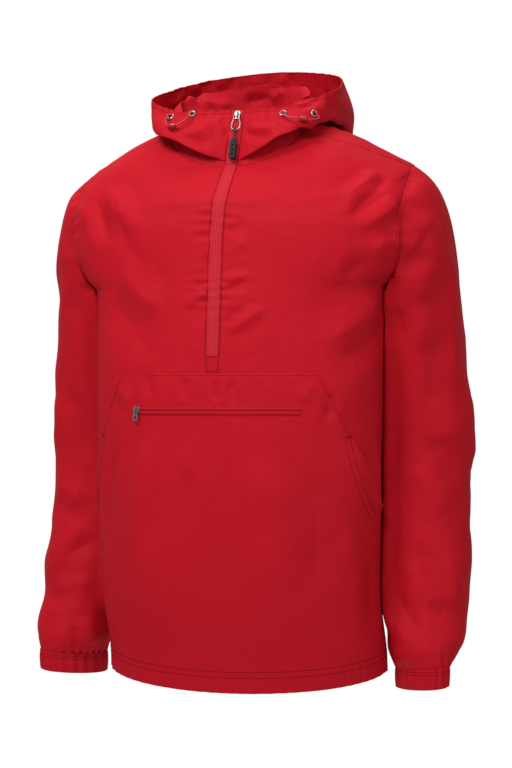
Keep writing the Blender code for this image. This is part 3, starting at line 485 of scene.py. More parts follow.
def near_line(line, reach, touched):
    """Which points lie within reach of a line, how far from it they are, and how far along it."""
    line = np.array(line)
    inside = ((points > line.min(0) - reach) & (points < line.max(0) + reach)).all(1)
    index = np.flatnonzero(inside & np.isin(group, list(touched)))
    close = points[index]
    distance, along, walked = np.full(len(index), np.inf), np.zeros(len(index)), 0.0
    for start, end in zip(line, line[1:]):
        step = end - start
        size = max(np.linalg.norm(step), 1e-9)
        share = np.clip((close - start) @ step / size**2, 0, 1)
        away = np.linalg.norm(close - start - share[:, None] * step, axis=1)
        nearer = away < distance
        distance[nearer] = away[nearer]
        along[nearer] = walked + share[nearer] * size
        walked += size
    return index, distance, along, walked


def ease(value):
    """A soft step from 0 to 1."""
    value = np.clip(value, 0, 1)
    return value * value * (3 - 2 * value)


push = np.zeros(len(points))


def press(fold, number):
    """Adds one crease to the push: full in its middle, fading to its ends, uneven along its way."""
    line, touched = dropped(fold.azimuth, fold.path)
    if len(line) < 3:
        print("fold", number, "misses the garment")
        return
    width = fold.width * MM
    index, distance, along, length = near_line(line, FELT * width, touched)
    share = along / length
    # Each crease starts its waves elsewhere, so no two of them are uneven in the same way.
    uneven = 1 + LONG_WAVE * np.sin(5.0 * share + 2.1 * number) + SHORT_WAVE * np.sin(11.0 * share + number)
    ends = ease(share / FADE_IN) * ease((1 - share) / FADE_OUT)
    across = distance / (width * (END_WIDTH + (MIDDLE_WIDTH - END_WIDTH) * ends))
    shape = np.exp(-(across**CRISPNESS)) - ANSWER * np.exp(-((across - ANSWER_AT) ** 2) / ANSWER_SPREAD)
    push[index] += fold.height * MM * uneven * ends * shape


# %% [markdown]
# These are the garment's own creases, a row for each. On the chest they fan out from the armholes. On
# the pocket they run down. The sleeves carry a few long diagonal folds, deeper at the elbow. A minus
# sign makes a trough. Azimuth 0 looks at the front, 90 at the wearer's left, and 180 at the back.

# %% The creases
FOLDS = (
    # The chest on the wearer's left, fanning from the armhole
    Fold(18, 7, 3.7, ((184, -45), (158, -66), (130, -85))),
    Fold(18, 6, -3.9, ((193, -55), (170, -78), (143, -105))),
    Fold(18, 7, -4.6, ((204, -68), (168, -92), (130, -112))),
    Fold(18, 8, 4.4, ((210, -85), (178, -112), (146, -132))),
    Fold(18, 10, 4.6, ((197, -132), (180, -150), (152, -172))),
    Fold(18, 9, -4.6, ((177, -150), (156, -172), (130, -193))),
    Fold(18, 16, 5.1, ((186, -215), (150, -250), (96, -285))),
    Fold(18, 13, -4.1, ((190, -250), (160, -282), (118, -300))),
    # The chest on the wearer's right
    Fold(18, 10, -5.1, ((-198, -79), (-190, -115), (-176, -152))),
    Fold(18, 11, 5.1, ((-176, -65), (-163, -100), (-145, -139))),
    Fold(18, 9, -4.1, ((-172, -99), (-158, -138), (-138, -175))),
    Fold(18, 14, 4.6, ((-168, -170), (-142, -205), (-104, -236))),
    Fold(18, 16, -3.7, ((-180, -215), (-150, -260), (-118, -300))),
    # Small pulls beside the zip
    Fold(18, 4.5, -1.8, ((-38, -92), (-44, -101), (-50, -112))),
    Fold(18, 4.5, -2.0, ((-42, -120), (-48, -128), (-56, -140))),
    Fold(18, 4.5, 1.6, ((-44, -142), (-50, -152), (-60, -160))),
    Fold(18, 4.5, -2.0, ((-44, -170), (-51, -179), (-60, -190))),
    Fold(18, 4.5, -1.8, ((-43, -188), (-52, -196), (-63, -206))),
    Fold(18, 5, 2.3, ((-44, -206), (-57, -215), (-76, -232))),
    Fold(18, 4.5, -2.3, ((-44, -216), (-60, -224), (-80, -243))),
    Fold(18, 4.5, -1.8, ((-43, -230), (-54, -238), (-70, -252))),
    Fold(18, 6, 2.7, ((-28, -197), (-8, -191), (14, -184))),
    Fold(18, 5, -2.7, ((-24, -204), (-8, -199), (8, -191))),
    Fold(18, 6, 3.1, ((-26, -262), (0, -248), (33, -227))),
    Fold(18, 5, -2.7, ((-27, -251), (-14, -243), (-2, -227))),
    Fold(18, 5, -1.8, ((-22, -130), (-10, -124), (6, -112))),
    Fold(18, 5, 1.6, ((-22, -150), (-8, -146), (10, -136))),
    # The top edge of the pocket
    Fold(18, 6, -2.4, ((-128, -318), (-125, -336), (-128, -354))),
    Fold(18, 6, -2.4, ((-80, -320), (-78, -336), (-76, -356))),
    Fold(18, 5, -2.0, ((-36, -324), (-35, -340), (-38, -358))),
    Fold(18, 5, -2.2, ((-18, -326), (-15, -345), (-12, -362))),
    Fold(18, 7, 2.4, ((95, -328), (88, -342), (74, -357))),
    Fold(18, 6, -3.1, ((120, -340), (116, -360), (112, -386))),
    Fold(18, 7, 2.9, ((-165, -336), (-158, -348), (-147, -362))),
    # Long falls on the pocket and the lower body
    Fold(18, 15, 4.9, ((-118, -386), (-134, -470), (-150, -575))),
    Fold(18, 12, -4.4, ((-98, -392), (-113, -470), (-132, -570))),
    Fold(18, 11, -3.2, ((-73, -436), (-80, -490), (-94, -548))),
    Fold(18, 20, 3.7, ((20, -420), (34, -520), (42, -640))),
    Fold(18, 18, -3.2, ((88, -430), (98, -520), (92, -630))),
    Fold(18, 13, 3.2, ((136, -520), (148, -580), (150, -650))),
    Fold(18, 11, -2.9, ((168, -570), (172, -620), (170, -668))),
    Fold(18, 10, 3.7, ((176, -395), (181, -450), (180, -520))),
    Fold(18, 9, -3.7, ((-168, -400), (-176, -470), (-178, -560))),
    # The left sleeve, as it shows in front
    Fold(18, 13, 5.6, ((253, -99), (240, -128), (217, -166))),
    Fold(18, 10, -5.6, ((251, -119), (234, -152), (206, -189))),
    Fold(18, 12, 3.6, ((262, -162), (246, -196), (222, -226))),
    Fold(18, 10, -4.2, ((204, -228), (210, -252), (217, -280))),
    Fold(18, 14, 3.6, ((252, -224), (244, -252), (232, -290))),
    Fold(18, 14, 4.2, ((279, -160), (281, -245), (279, -335))),
    Fold(18, 12, -3.6, ((256, -262), (258, -310), (250, -372))),
    Fold(18, 18, 4.5, ((296, -360), (309, -400), (300, -448))),
    Fold(18, 13, -4.5, ((252, -398), (266, -430), (292, -470))),
    Fold(18, 13, 3.6, ((232, -436), (250, -476), (282, -512))),
    Fold(18, 11, -4.9, ((229, -538), (255, -585), (288, -618))),
    Fold(18, 12, 3.6, ((224, -560), (240, -596), (268, -636))),
    Fold(18, 8, -2.5, ((248, -624), (258, -633), (274, -640))),
    Fold(18, 9, 3.6, ((196, -636), (208, -660), (224, -684))),
    Fold(18, 8, -2.7, ((204, -606), (216, -636), (240, -668))),
    # The right sleeve
    Fold(18, 12, 4.5, ((-268, -590), (-243, -562), (-214, -526))),
    Fold(18, 9, -4.5, ((-246, -570), (-222, -552), (-192, -540))),
    Fold(18, 9, -3.5, ((-264, -616), (-240, -612), (-214, -602))),
    Fold(18, 9, 3.4, ((-256, -604), (-228, -602), (-198, -595))),
    Fold(18, 7, -2.5, ((-226, -652), (-224, -668), (-220, -688))),
    Fold(18, 8, 3.1, ((-212, -640), (-204, -660), (-198, -686))),
    Fold(18, 12, 3.4, ((-230, -142), (-237, -184), (-234, -236))),
    Fold(18, 11, -4.2, ((-228, -160), (-230, -215), (-214, -262))),
    Fold(18, 14, 3.4, ((-262, -290), (-250, -352), (-232, -412))),
    Fold(18, 11, -3.9, ((-236, -330), (-222, -390), (-214, -448))),
    Fold(18, 13, 3.5, ((-262, -432), (-240, -468), (-210, -496))),
    Fold(18, 10, -3.5, ((-260, -470), (-238, -498), (-208, -518))),
    # The back: fans from the armholes, a slack yoke and long falls to the hem
    Fold(180, 17, 5.6, ((178, -112), (146, -146), (92, -176))),
    Fold(180, 15, -4.6, ((182, -150), (148, -186), (96, -214))),
    Fold(180, 17, 3.8, ((180, -204), (150, -238), (100, -268))),
    Fold(180, 17, 5.4, ((-180, -106), (-146, -148), (-86, -184))),
    Fold(180, 15, -4.6, ((-182, -146), (-150, -186), (-94, -222))),
    Fold(180, 17, 3.6, ((-180, -206), (-150, -242), (-104, -276))),
    Fold(180, 16, -3.6, ((-70, -84), (-10, -104), (62, -88))),
    Fold(180, 18, 4.6, ((-60, -150), (-30, -240), (-42, -330))),
    Fold(180, 18, -4.3, ((14, -190), (34, -300), (22, -420))),
    Fold(180, 20, 5.1, ((82, -300), (96, -430), (84, -590))),
    Fold(180, 16, -5.1, ((118, -330), (132, -440), (124, -600))),
    Fold(180, 20, 4.7, ((-92, -320), (-104, -450), (-88, -620))),
    Fold(180, 16, -4.7, ((-58, -400), (-64, -520), (-52, -650))),
    Fold(180, 15, 4.3, ((10, -460), (2, -560), (12, -660))),
    Fold(180, 13, -4.7, ((-142, -350), (-150, -440), (-146, -560))),
    Fold(180, 12, -3.6, ((150, -480), (146, -560), (154, -650))),
    # The wearer's left side and the outside of that sleeve
    Fold(90, 14, 1.7, ((-30, -96), (6, -150), (60, -186))),
    Fold(90, 11, -1.7, ((-36, -134), (4, -186), (62, -216))),
    Fold(90, 15, 1.5, ((96, -236), (60, -290), (10, -322))),
    Fold(90, 12, -1.5, ((104, -280), (62, -332), (8, -350))),
    Fold(90, 14, 1.6, ((14, -378), (58, -408), (112, -410))),
    Fold(90, 11, -1.7, ((8, -408), (56, -438), (108, -446))),
    Fold(90, 13, 1.4, ((100, -470), (60, -520), (14, -548))),
    Fold(90, 10, -1.5, ((92, -520), (52, -566), (2, -588))),
    Fold(90, 9, 1.2, ((-26, -620), (4, -650), (44, -664))),
    # The wearer's right side and the outside of that sleeve
    Fold(270, 14, 1.7, ((34, -100), (-4, -152), (-58, -182))),
    Fold(270, 11, -1.6, ((38, -140), (-6, -190), (-62, -214))),
    Fold(270, 15, 1.5, ((-92, -244), (-56, -296), (-6, -330))),
    Fold(270, 12, -1.6, ((-100, -290), (-60, -338), (-10, -362))),
    Fold(270, 14, 1.6, ((-8, -392), (-54, -420), (-108, -424))),
    Fold(270, 11, -1.6, ((-12, -424), (-58, -452), (-106, -462))),
    Fold(270, 13, 1.4, ((-96, -480), (-58, -528), (-10, -560))),
    Fold(270, 10, -1.4, ((-90, -528), (-50, -572), (0, -600))),
    # The backs of both sleeves
    Fold(200, 14, 2.6, ((-262, -180), (-236, -240), (-240, -320))),
    Fold(200, 12, -2.6, ((-240, -330), (-256, -400), (-242, -470))),
    Fold(200, 12, 2.2, ((-226, -500), (-244, -552), (-266, -600))),
    Fold(160, 14, 2.6, ((262, -190), (238, -250), (242, -326))),
    Fold(160, 12, -2.6, ((242, -340), (256, -410), (240, -476))),
    Fold(160, 12, 2.2, ((226, -506), (246, -560), (266, -606))),
    # The hood, as it shows from the front: outside the collar
    Fold(18, 7, 3.4, ((-84, 2), (-59, 6), (-37, 24))),
    Fold(18, 5, -3.1, ((-86, -2), (-62, -4), (-44, -16))),
    Fold(18, 4, 2.0, ((-37, 28), (-30, 16), (-24, 4))),
    Fold(18, 4, -1.9, ((-32, 26), (-24, 12), (-19, -4))),
    Fold(18, 5, 2.5, ((4, 14), (25, 9), (46, 13))),
    Fold(18, 5, -2.5, ((2, 5), (24, 1), (46, 4))),
    Fold(18, 4, -1.9, ((34, 18), (42, 22), (50, 25))),
    Fold(18, 5, 2.9, ((54, 21), (84, 15), (128, 10))),
    Fold(18, 5, -3.4, ((58, 14), (84, 8), (126, 4))),
    Fold(18, 5, -4.4, ((109, 23), (124, 15), (133, 6))),
    Fold(18, 8, -3.1, ((113, 50), (119, 40), (124, 29))),
    Fold(18, 5, -2.5, ((-112, 34), (-104, 22), (-98, 10))),
    # Inside the hood, on its back wall and on the ridge round the neck
    Fold(18, 4.5, 4.2, ((-104, 47), (-95, 54), (-84, 61))),
    Fold(18, 4.5, -4.6, ((-97, 41), (-88, 50), (-77, 58))),
    Fold(18, 5, -4.9, ((-76, 56), (-70, 47), (-65, 36))),
    Fold(18, 5, 4.2, ((-68, 57), (-58, 48), (-54, 36))),
    Fold(18, 6, -3.8, ((-62, 48), (-36, 42), (-8, 43))),
    Fold(18, 4.5, 3.8, ((-20, 67), (-14, 73), (-8, 79))),
    Fold(18, 4.5, -3.8, ((-36, 66), (-28, 72), (-20, 76))),
    Fold(18, 4.5, -4.2, ((0, 78), (9, 73), (17, 68))),
    Fold(18, 6, 4.2, ((-2, 43), (23, 49), (46, 53))),
    Fold(18, 5, -4.6, ((34, 50), (48, 55), (56, 64))),
    Fold(18, 4.5, 4.2, ((29, 67), (37, 73), (46, 78))),
    Fold(18, 4.5, -4.2, ((46, 69), (54, 74), (62, 78))),
    Fold(18, 4.5, 4.2, ((58, 68), (66, 73), (74, 78))),
    Fold(18, 5, 4.9, ((66, 41), (80, 49), (101, 58))),
    Fold(18, 5, -4.9, ((74, 38), (88, 46), (106, 52))),
    Fold(18, 4.5, -4.6, ((84, 69), (95, 61), (105, 53))),
    Fold(18, 4.5, 4.2, ((95, 70), (105, 63), (115, 55))),
    Fold(18, 4.5, -4.2, ((105, 68), (114, 62), (122, 52))),
    Fold(18, 4.5, -3.8, ((14, 79), (22, 73), (30, 69))),
    Fold(18, 4.5, 3.8, ((-60, 62), (-48, 68), (-38, 72))),
    Fold(18, 4.5, -3.8, ((-74, 61), (-62, 66), (-52, 70))),
    # The back of the hood
    Fold(180, 16, 4.8, ((-98, 20), (-40, -34), (20, -62))),
    Fold(180, 13, -4.5, ((-70, 40), (-20, -6), (40, -30))),
    Fold(180, 16, 4.5, ((104, 16), (60, -30), (16, -58))),
    Fold(180, 12, -3.9, ((84, 44), (44, 4), (10, -10))),
    Fold(90, 12, 2.0, ((0, 20), (52, 6), (110, -14))),
    Fold(90, 10, -1.8, ((6, 36), (60, 26), (120, 6))),
    Fold(270, 12, 2.0, ((-4, 22), (-56, 4), (-112, -16))),
    Fold(270, 10, -1.8, ((-10, 38), (-64, 24), (-120, 4))),
)
for number, fold in enumerate(FOLDS):
    press(fold, number)
print("creases:", len(FOLDS))

# %% [markdown]
# Wherever thin cloth is sewn, the thread draws it up a little, and the seam is lined with short puckers.
# Their line is the seam itself, found where two panels of the shell meet. The wave along it changes
# its length and height from place to place, because even puckers look machined.

# %% Puckers along the seams
PUCKER_FELT = 2.2
PUCKER_CRISPNESS = 1.6
PUCKER_END = 20 * MM
FEWEST_PUCKERS = 3
Pucker = namedtuple("Pucker", "between wavelength reach height")
PUCKERS = (
    Pucker(("front", "zip_tape_left"), 15, 16, 1.00),
    Pucker(("front", "zip_tape_right"), 14, 19, 1.20),
    Pucker(("front", "sleeve_left"), 19, 14, 1.27),
    Pucker(("front", "sleeve_right"), 18, 14, 1.27),
    Pucker(("back", "sleeve_left"), 20, 14, 1.36),
    Pucker(("back", "sleeve_right"), 19, 14, 1.36),
    Pucker(("front", "back"), 22, 12, 0.60),
    Pucker(("hood_left", "hood_right"), 15, 10, 0.70),
    Pucker(("front", "hood_left"), 15, 9, 0.60),
    Pucker(("front", "hood_right"), 15, 9, 0.60),
    Pucker(("back", "hood_left"), 15, 9, 0.60),
    Pucker(("back", "hood_right"), 15, 9, 0.60),
    Pucker(("front",), 15, 19, 1.00),
    Pucker(("back",), 16, 19, 1.00),
    Pucker(("sleeve_left",), 12, 20, 2.60),
    Pucker(("sleeve_right",), 12, 20, 2.60),
    Pucker(("hood_left",), 14, 13, 1.50),
    Pucker(("hood_right",), 14, 13, 1.50),
)


def chained(edges):
    """Edges as lines of vertices, each from one end to the other."""
    left, lines, at = set(edges), [], {}
    for edge in edges:
        for vert in edge.verts:
            at.setdefault(vert, []).append(edge)
    for start in sorted(at, key=lambda vert: (len(at[vert]) == 2, vert.index)):
        while True:
            edge = next((edge for edge in at[start] if edge in left), None)
            if edge is None:
                break
            vert, line = start, [start]
            while edge is not None:
                left.discard(edge)
                vert = edge.other_vert(vert)
                line.append(vert)
                ahead = [other for other in at[vert] if other in left]
                edge = ahead[0] if len(at[vert]) == 2 and ahead else None
            lines.append(line)
    return lines


def seam_lines():
    """For each pair of panels that meet, and for each free edge, the numbers of the points along it."""
    mesh = bmesh.new()
    mesh.from_mesh(shell)
    meeting = {}
    for edge in mesh.edges:
        faces = [NAMES[face.material_index] for face in edge.link_faces]
        if len(faces) == 1 or faces[0] != faces[1]:
            meeting.setdefault(frozenset(faces), []).append(edge)
    lines = {pair: [[v.index for v in line] for line in chained(edges)] for pair, edges in meeting.items()}
    mesh.free()
    return lines


seams = seam_lines()
for pucker in PUCKERS:
    touched = {group_of(NAMES.index(name)) for name in pucker.between}
    for line in seams.get(frozenset(pucker.between), []):
        reach, wavelength = pucker.reach * MM, pucker.wavelength * MM
        index, distance, along, length = near_line(points[line[::2]], PUCKER_FELT * reach, touched)
        if length < FEWEST_PUCKERS * wavelength:
            continue
        # Sines whose lengths have nothing to do with each other keep the wave from looking even.
        phase = 2 * math.pi * along / wavelength + 1.7 * np.sin(along * 31) + 1.1 * np.sin(along * 73)
        height = 0.55 + 0.45 * np.sin(along * 19 + len(line)) * np.sin(along * 47)
        fade = ease(along / PUCKER_END) * ease((length - along) / PUCKER_END)
        fade *= np.exp(-((distance / reach) ** PUCKER_CRISPNESS))
        push[index] += pucker.height * MM * height * np.sin(phase) * fade
print("seam lines:", sum(len(lines) for lines in seams.values()))

# %% [markdown]
# Last comes the slack that no crease accounts for: a slow swell a few centimetres long, drawn out along
# the fall of the cloth. All pushes are then made at once, along each point's own outward direction. Where
# a sleeve hangs close beside the body, its inner side swells until the two nearly touch.

# %% Slack, and the push
SLACK = 1.3 * MM
SLACK_SCALE = (17.0, 17.0, 8.0)
SMALL_SLACK = 0.45 * MM
SMALL_SLACK_SCALE = 3.1
TAPE_SHARE = 0.35
MOST = 6.0 * MM
TOUCH = 1.3 * MM
NEAR = 20 * MM
NEAR_EASE = 0.3
MOST_SWELL = 9 * MM
HANG_LEVELS = (-0.675, -0.195)
HANG_EASES = (0.10, 0.015)
for index, place in enumerate(points):
    wide = Vector(place * SLACK_SCALE)
    push[index] += SLACK * noise.noise(wide) + SMALL_SLACK * noise.noise(wide * SMALL_SLACK_SCALE)
on_tape = np.zeros(len(points), bool)
for face, panel in zip(shell.polygons, panels):
    if NAMES[panel].startswith("zip_tape"):
        on_tape[list(face.vertices)] = True
push[on_tape] *= TAPE_SHARE
push = np.clip(push, -MOST, MOST)
pressed = points + normals * push[:, None]
torso_faces = [list(face.vertices) for face, panel in zip(shell.polygons, panels) if panel in torso_numbers]
side_tree = BVHTree.FromPolygons(pressed.tolist(), torso_faces)
for index in np.flatnonzero(np.isin(group, SLEEVE_GROUPS)):
    place = Vector(pressed[index])
    if not HANG_LEVELS[0] < place.z < HANG_LEVELS[1]:
        continue
    at, _, _, away = side_tree.find_nearest(place, NEAR)
    if at is None or away <= TOUCH:
        continue
    share = (place.z - HANG_LEVELS[0]) / (HANG_LEVELS[1] - HANG_LEVELS[0])
    swell = min(away - TOUCH, MOST_SWELL) * ease(share / HANG_EASES[0]) * ease((1 - share) / HANG_EASES[1])
    fall = 1 - ease((away / NEAR - 1 + NEAR_EASE) / NEAR_EASE)
    pressed[index] += np.array(at - place) / away * swell * fall
shell.vertices.foreach_set("co", pressed.ravel())
shell.update()
points, normals, group, tree, panels = read_shell()
print("push from", round(push.min() / MM, 1), "to", round(push.max() / MM, 1), "mm")

# %% [markdown]
# The shell is now cut up again into the panels that a maker would sew. Along every seam the two edges
# are turned in, so the border of each panel is drawn back a little and sinks below its neighbour's
# surface. Solidify then gives the cloth its thickness, inwards, so the outside stays where it is.

# %% Panels
CLOTH = 0.7 * MM
SEAM_BACK = 0.25 * MM
SEAM_DEPTH = 0.7 * MM
TAPE_DEPTH = 0.21 * MM
CLOTH_BEND = math.radians(50)
WEAVE_RADIUS = 0.15


def thickened(piece, thickness):
    """The piece as a wall of its own, made inwards from its surface."""
    wall = piece.modifiers.new("Solidify", "SOLIDIFY")
    wall.thickness = thickness
    wall.offset = -1
    bpy.context.view_layer.update()
    finished = bpy.data.meshes.new_from_object(piece.evaluated_get(bpy.context.evaluated_depsgraph_get()))
    piece.modifiers.clear()
    piece.data = finished
    piece.data.name = piece.name
    piece.data.shade_smooth()
    piece.data.set_sharp_from_angle(angle=CLOTH_BEND)
    return piece


def tuck_border(sheet, back, depth, free=()):
    """Draws a sheet's border back and sinks it, except at the vertices of its free edges."""
    sheet.normal_update()
    moves = {}
    for vert in sheet.verts:
        if vert.is_boundary and vert.index not in free:
            middles = [face.calc_center_median() for face in vert.link_faces]
            inward = sum(middles, Vector()) / len(middles) - vert.co
            inward -= vert.normal * inward.dot(vert.normal)
            moves[vert] = inward.normalized() * back - vert.normal * depth
    for vert, move in moves.items():
        vert.co += move


def weave_map(mesh, middle_x=0.0, middle_y=0.0, radius=WEAVE_RADIUS):
    """A map in metres: across the cloth by the angle round an upright axis, and up it by height."""
    place = places(mesh)
    corners = np.empty(len(mesh.loops), int)
    mesh.loops.foreach_get("vertex_index", corners)
    starts, totals = np.empty(len(mesh.polygons), int), np.empty(len(mesh.polygons), int)
    mesh.polygons.foreach_get("loop_start", starts)
    mesh.polygons.foreach_get("loop_total", totals)
    angle = np.arctan2(place[:, 0] - middle_x, middle_y - place[:, 1])[corners]
    first = np.repeat(angle[starts], totals)
    angle -= 2 * math.pi * np.round((angle - first) / (2 * math.pi))
    spread = np.stack([angle * radius, place[corners, 2]], axis=1)
    layer = mesh.uv_layers.new(name="weave")
    layer.data.foreach_set("uv", spread.ravel().astype(np.float32))


def finish_cloth(piece, node, flat, held, slot="cloth", **more):
    """Hands over a sheet of cloth. The size that it has when it lies flat is not used."""
    hand_over(piece, node=node)
    print(piece.name, "triangles:", sum(len(face.vertices) - 2 for face in piece.data.polygons))


FREE_EDGES = {
    index
    for pair, lines in seams.items()
    if len(pair) == 1
    for line in lines
    for index in line
}
# Where the axis of a sleeve's weave stands, and how far from it the cloth lies
MIDDLES = {"sleeve_left": (0.24, 0.03, 0.06), "sleeve_right": (-0.24, 0.03, 0.06)}
# Width and height when laid flat, and the area that shows
FLATS = {
    "front": ((0.62, 0.76), 0.340),
    "back": ((0.64, 0.78), 0.394),
    "sleeve_left": ((0.50, 0.66), 0.210),
    "sleeve_right": ((0.50, 0.66), 0.210),
    "hood_left": ((0.40, 0.28), 0.072),
    "hood_right": ((0.40, 0.28), 0.072),
    "zip_tape_left": ((0.010, 0.34), 0.0029),
    "zip_tape_right": ((0.010, 0.34), 0.0029),
}
whole = bmesh.new()
whole.from_mesh(shell)
panel_pieces = {}
for name in NAMES:
    sheet = whole.copy()
    others = [face for face in sheet.faces if face.material_index != NAMES.index(name)]
    sheet.verts.ensure_lookup_table()
    free_verts = [sheet.verts[index] for index in FREE_EDGES]
    bmesh.ops.delete(sheet, geom=others, context="FACES")
    free_verts = {vert for vert in free_verts if vert.is_valid}
    sheet.verts.index_update()
    tape = name.startswith("zip_tape")
    depth = TAPE_DEPTH if tape else SEAM_DEPTH
    tuck_border(sheet, SEAM_BACK, depth, {vert.index for vert in free_verts})
    for face in sheet.faces:
        face.material_index = 0
    piece = thickened(add_piece(f"{name}_cloth", sheet, tape_red if tape else red_nylon), CLOTH)
    weave_map(piece.data, *MIDDLES.get(name, ()))
    flat, area = FLATS[name]
    finish_cloth(piece, name, flat, "hung", "zip_tape" if tape else "cloth", area=area)
    panel_pieces[name] = piece
whole.free()


def tree_of(*pieces):
    """One tree over the surfaces of several pieces."""
    joined = bmesh.new()
    for piece in pieces:
        joined.from_mesh(piece.data)
    made = BVHTree.FromBMesh(joined)
    joined.free()
    return made


torso_tree = tree_of(*(panel_pieces[name] for name in TORSO))

# %% [markdown]
# The kangaroo pocket is a second layer on the front. It is made from the front's own finished sheet, cut
# to the pocket's outline and lifted off it, so the two can never cross and share the same creases. Its
# slanted sides are the hand openings. They are left open, and the layer stands off a little there.

# %% Pocket
POCKET_TOP_HALF = 0.136
POCKET_TACK = (0.171, -0.400)
POCKET_MOUTH_END = (0.200, -0.507)
POCKET_TOP = -0.3195
POCKET_HEIGHT = 0.39
POCKET_LIFT = 1.3 * MM
POCKET_POUCH = 3.6 * MM
POCKET_EDGE_DROP = 0.9 * MM
MOUTH_START = 8 * MM
MOUTH_REACH = 16 * MM
MOUTH_GAPE = 6.5 * MM
MOUTH_GAPE_RIGHT = 2.5 * MM
MOUTH_EASE = 0.3
# As shares of the pocket's height and half width: where its pouch is full, and where it has ended
POUCH_TOP = 0.35
POUCH_BOTTOM = (0.75, 0.97)
POUCH_SIDE = (0.55, 0.97)


def ramp(value, low, high):
    """From 0 at low to 1 at high."""
    return float(ease((value - low) / (high - low)))


def front_face():
    """The front's outer sheet, without the thickness."""
    sheet = bmesh.new()
    sheet.from_mesh(shell)
    others = [face for face in sheet.faces if NAMES[face.material_index] != "front"]
    bmesh.ops.delete(sheet, geom=others, context="FACES")
    for face in sheet.faces:
        face.material_index = 0
    return sheet


def cropped(sheet, planes):
    """The part of a sheet that lies behind every plane."""
    for place, beyond in planes:
        bmesh.ops.bisect_plane(
            sheet,
            geom=sheet.verts[:] + sheet.edges[:] + sheet.faces[:],
            dist=0.0001,
            plane_co=place,
            plane_no=beyond,
            clear_outer=True,
        )
    return sheet


def slanted(start, end, sign):
    """The upright plane through two points (x, z) of the pocket's side."""
    run, rise = end[0] - start[0], end[1] - start[1]
    return Vector((sign * start[0], 0, start[1])), Vector((-rise * sign, 0, run))


def lifted(sheet, height_at):
    """The sheet, moved off its own surface by a height that depends on the place."""
    sheet.normal_update()
    for vert, normal in [(vert, vert.normal.copy()) for vert in sheet.verts]:
        vert.co += normal * height_at(vert.co)
    return sheet


def edge_distance(place):
    """How far a place on the pocket lies inside its slanted mouth, in metres."""
    (x0, z0), (x1, z1) = POCKET_TACK, POCKET_MOUTH_END
    run, rise = x1 - x0, z1 - z0
    return ((abs(place.x) - x0) * rise - (place.z - z0) * run) / math.hypot(run, rise)


def pocket_height(place):
    """How far the pocket stands off the front: a pouch in its middle, and a gape at its mouths."""
    down = (POCKET_TOP - place.z) / POCKET_HEIGHT
    across = abs(place.x) / POCKET_MOUTH_END[0]
    pouch = ramp(down, 0.0, POUCH_TOP) * (1 - ramp(down, *POUCH_BOTTOM)) * (1 - ramp(across, *POUCH_SIDE))
    share = (POCKET_TACK[1] - place.z) / (POCKET_TACK[1] - POCKET_MOUTH_END[1])
    mouth = ease(share / MOUTH_EASE) * ease((1 - share) / MOUTH_EASE)
    mouth *= math.exp(-((edge_distance(place) / MOUTH_REACH) ** 2))
    gape = MOUTH_GAPE if place.x > 0 else MOUTH_GAPE_RIGHT
    return POCKET_LIFT + POCKET_POUCH * pouch + gape * float(mouth)


pocket_planes = [(Vector((0, 0, POCKET_TOP)), Vector((0, 0, 1)))]
for sign in (1, -1):
    pocket_planes.append(slanted((POCKET_TOP_HALF, POCKET_TOP), POCKET_TACK, sign))
    pocket_planes.append(slanted(POCKET_TACK, POCKET_MOUTH_END, sign))
pocket_sheet = lifted(cropped(front_face(), pocket_planes), pocket_height)
pocket_sheet.verts.index_update()
below = {vert.index for vert in pocket_sheet.verts if vert.co.z < POCKET_TACK[1] - MOUTH_START}
tuck_border(pocket_sheet, 0.1 * MM, POCKET_EDGE_DROP, below)
pocket_outline = pocket_sheet.copy()
pocket = thickened(add_piece("pocket_cloth", pocket_sheet, red_nylon), CLOTH)
weave_map(pocket.data)
finish_cloth(pocket, "pocket", (0.47, 0.42), "stretched", rests_on=[panel_pieces["front"]], area=0.178)
pocket_tree = BVHTree.FromBMesh(pocket_outline)


def on_front(tree, x, z):
    """Where a level line from the front meets a surface, and the surface's direction there."""
    at, normal, _, _ = tree.ray_cast(Vector((x, -1, z)), Vector((0, 1, 0)))
    return at, normal


# %% [markdown]
# The pocket's own zip lies under two folded lips that meet over it. Each lip is a strip of the pocket's
# sheet, lifted once more and rounded down at the slit. The half zip ends under a box-stitched patch.

# %% Lips of the pocket's zip, and the patch
POCKET_ZIP_LEVEL = -0.3665
POCKET_ZIP_ENDS = (-0.110, 0.114)
LIP_DEPTH = 6.5 * MM
LIP_LIFT = 1.6 * MM
# As shares of the lip's depth and lift: its rolled part, how high the slit's edge is, where it falls off
LIP_ROLL = 0.35
LIP_EDGE = 0.45
LIP_FALL = 0.45
LIP_DROP = 0.80
SLIT = 0.35 * MM
PATCH_HALF = 9 * MM
PATCH_LIFT = 1.0 * MM
PATCH_LEVELS = (-0.3170, -0.2975)


def strip_of(sheet, low, high, left, right):
    """The part of a sheet between two levels and two sides, with rows fine enough for its rolled edge."""
    planes = [(Vector((0, 0, low)), Vector((0, 0, -1))), (Vector((0, 0, high)), Vector((0, 0, 1)))]
    planes += [(Vector((left, 0, 0)), Vector((-1, 0, 0))), (Vector((right, 0, 0)), Vector((1, 0, 0)))]
    strip = cropped(sheet, planes)
    bmesh.ops.subdivide_edges(strip, edges=strip.edges[:], cuts=2, use_grid_fill=True)
    return strip


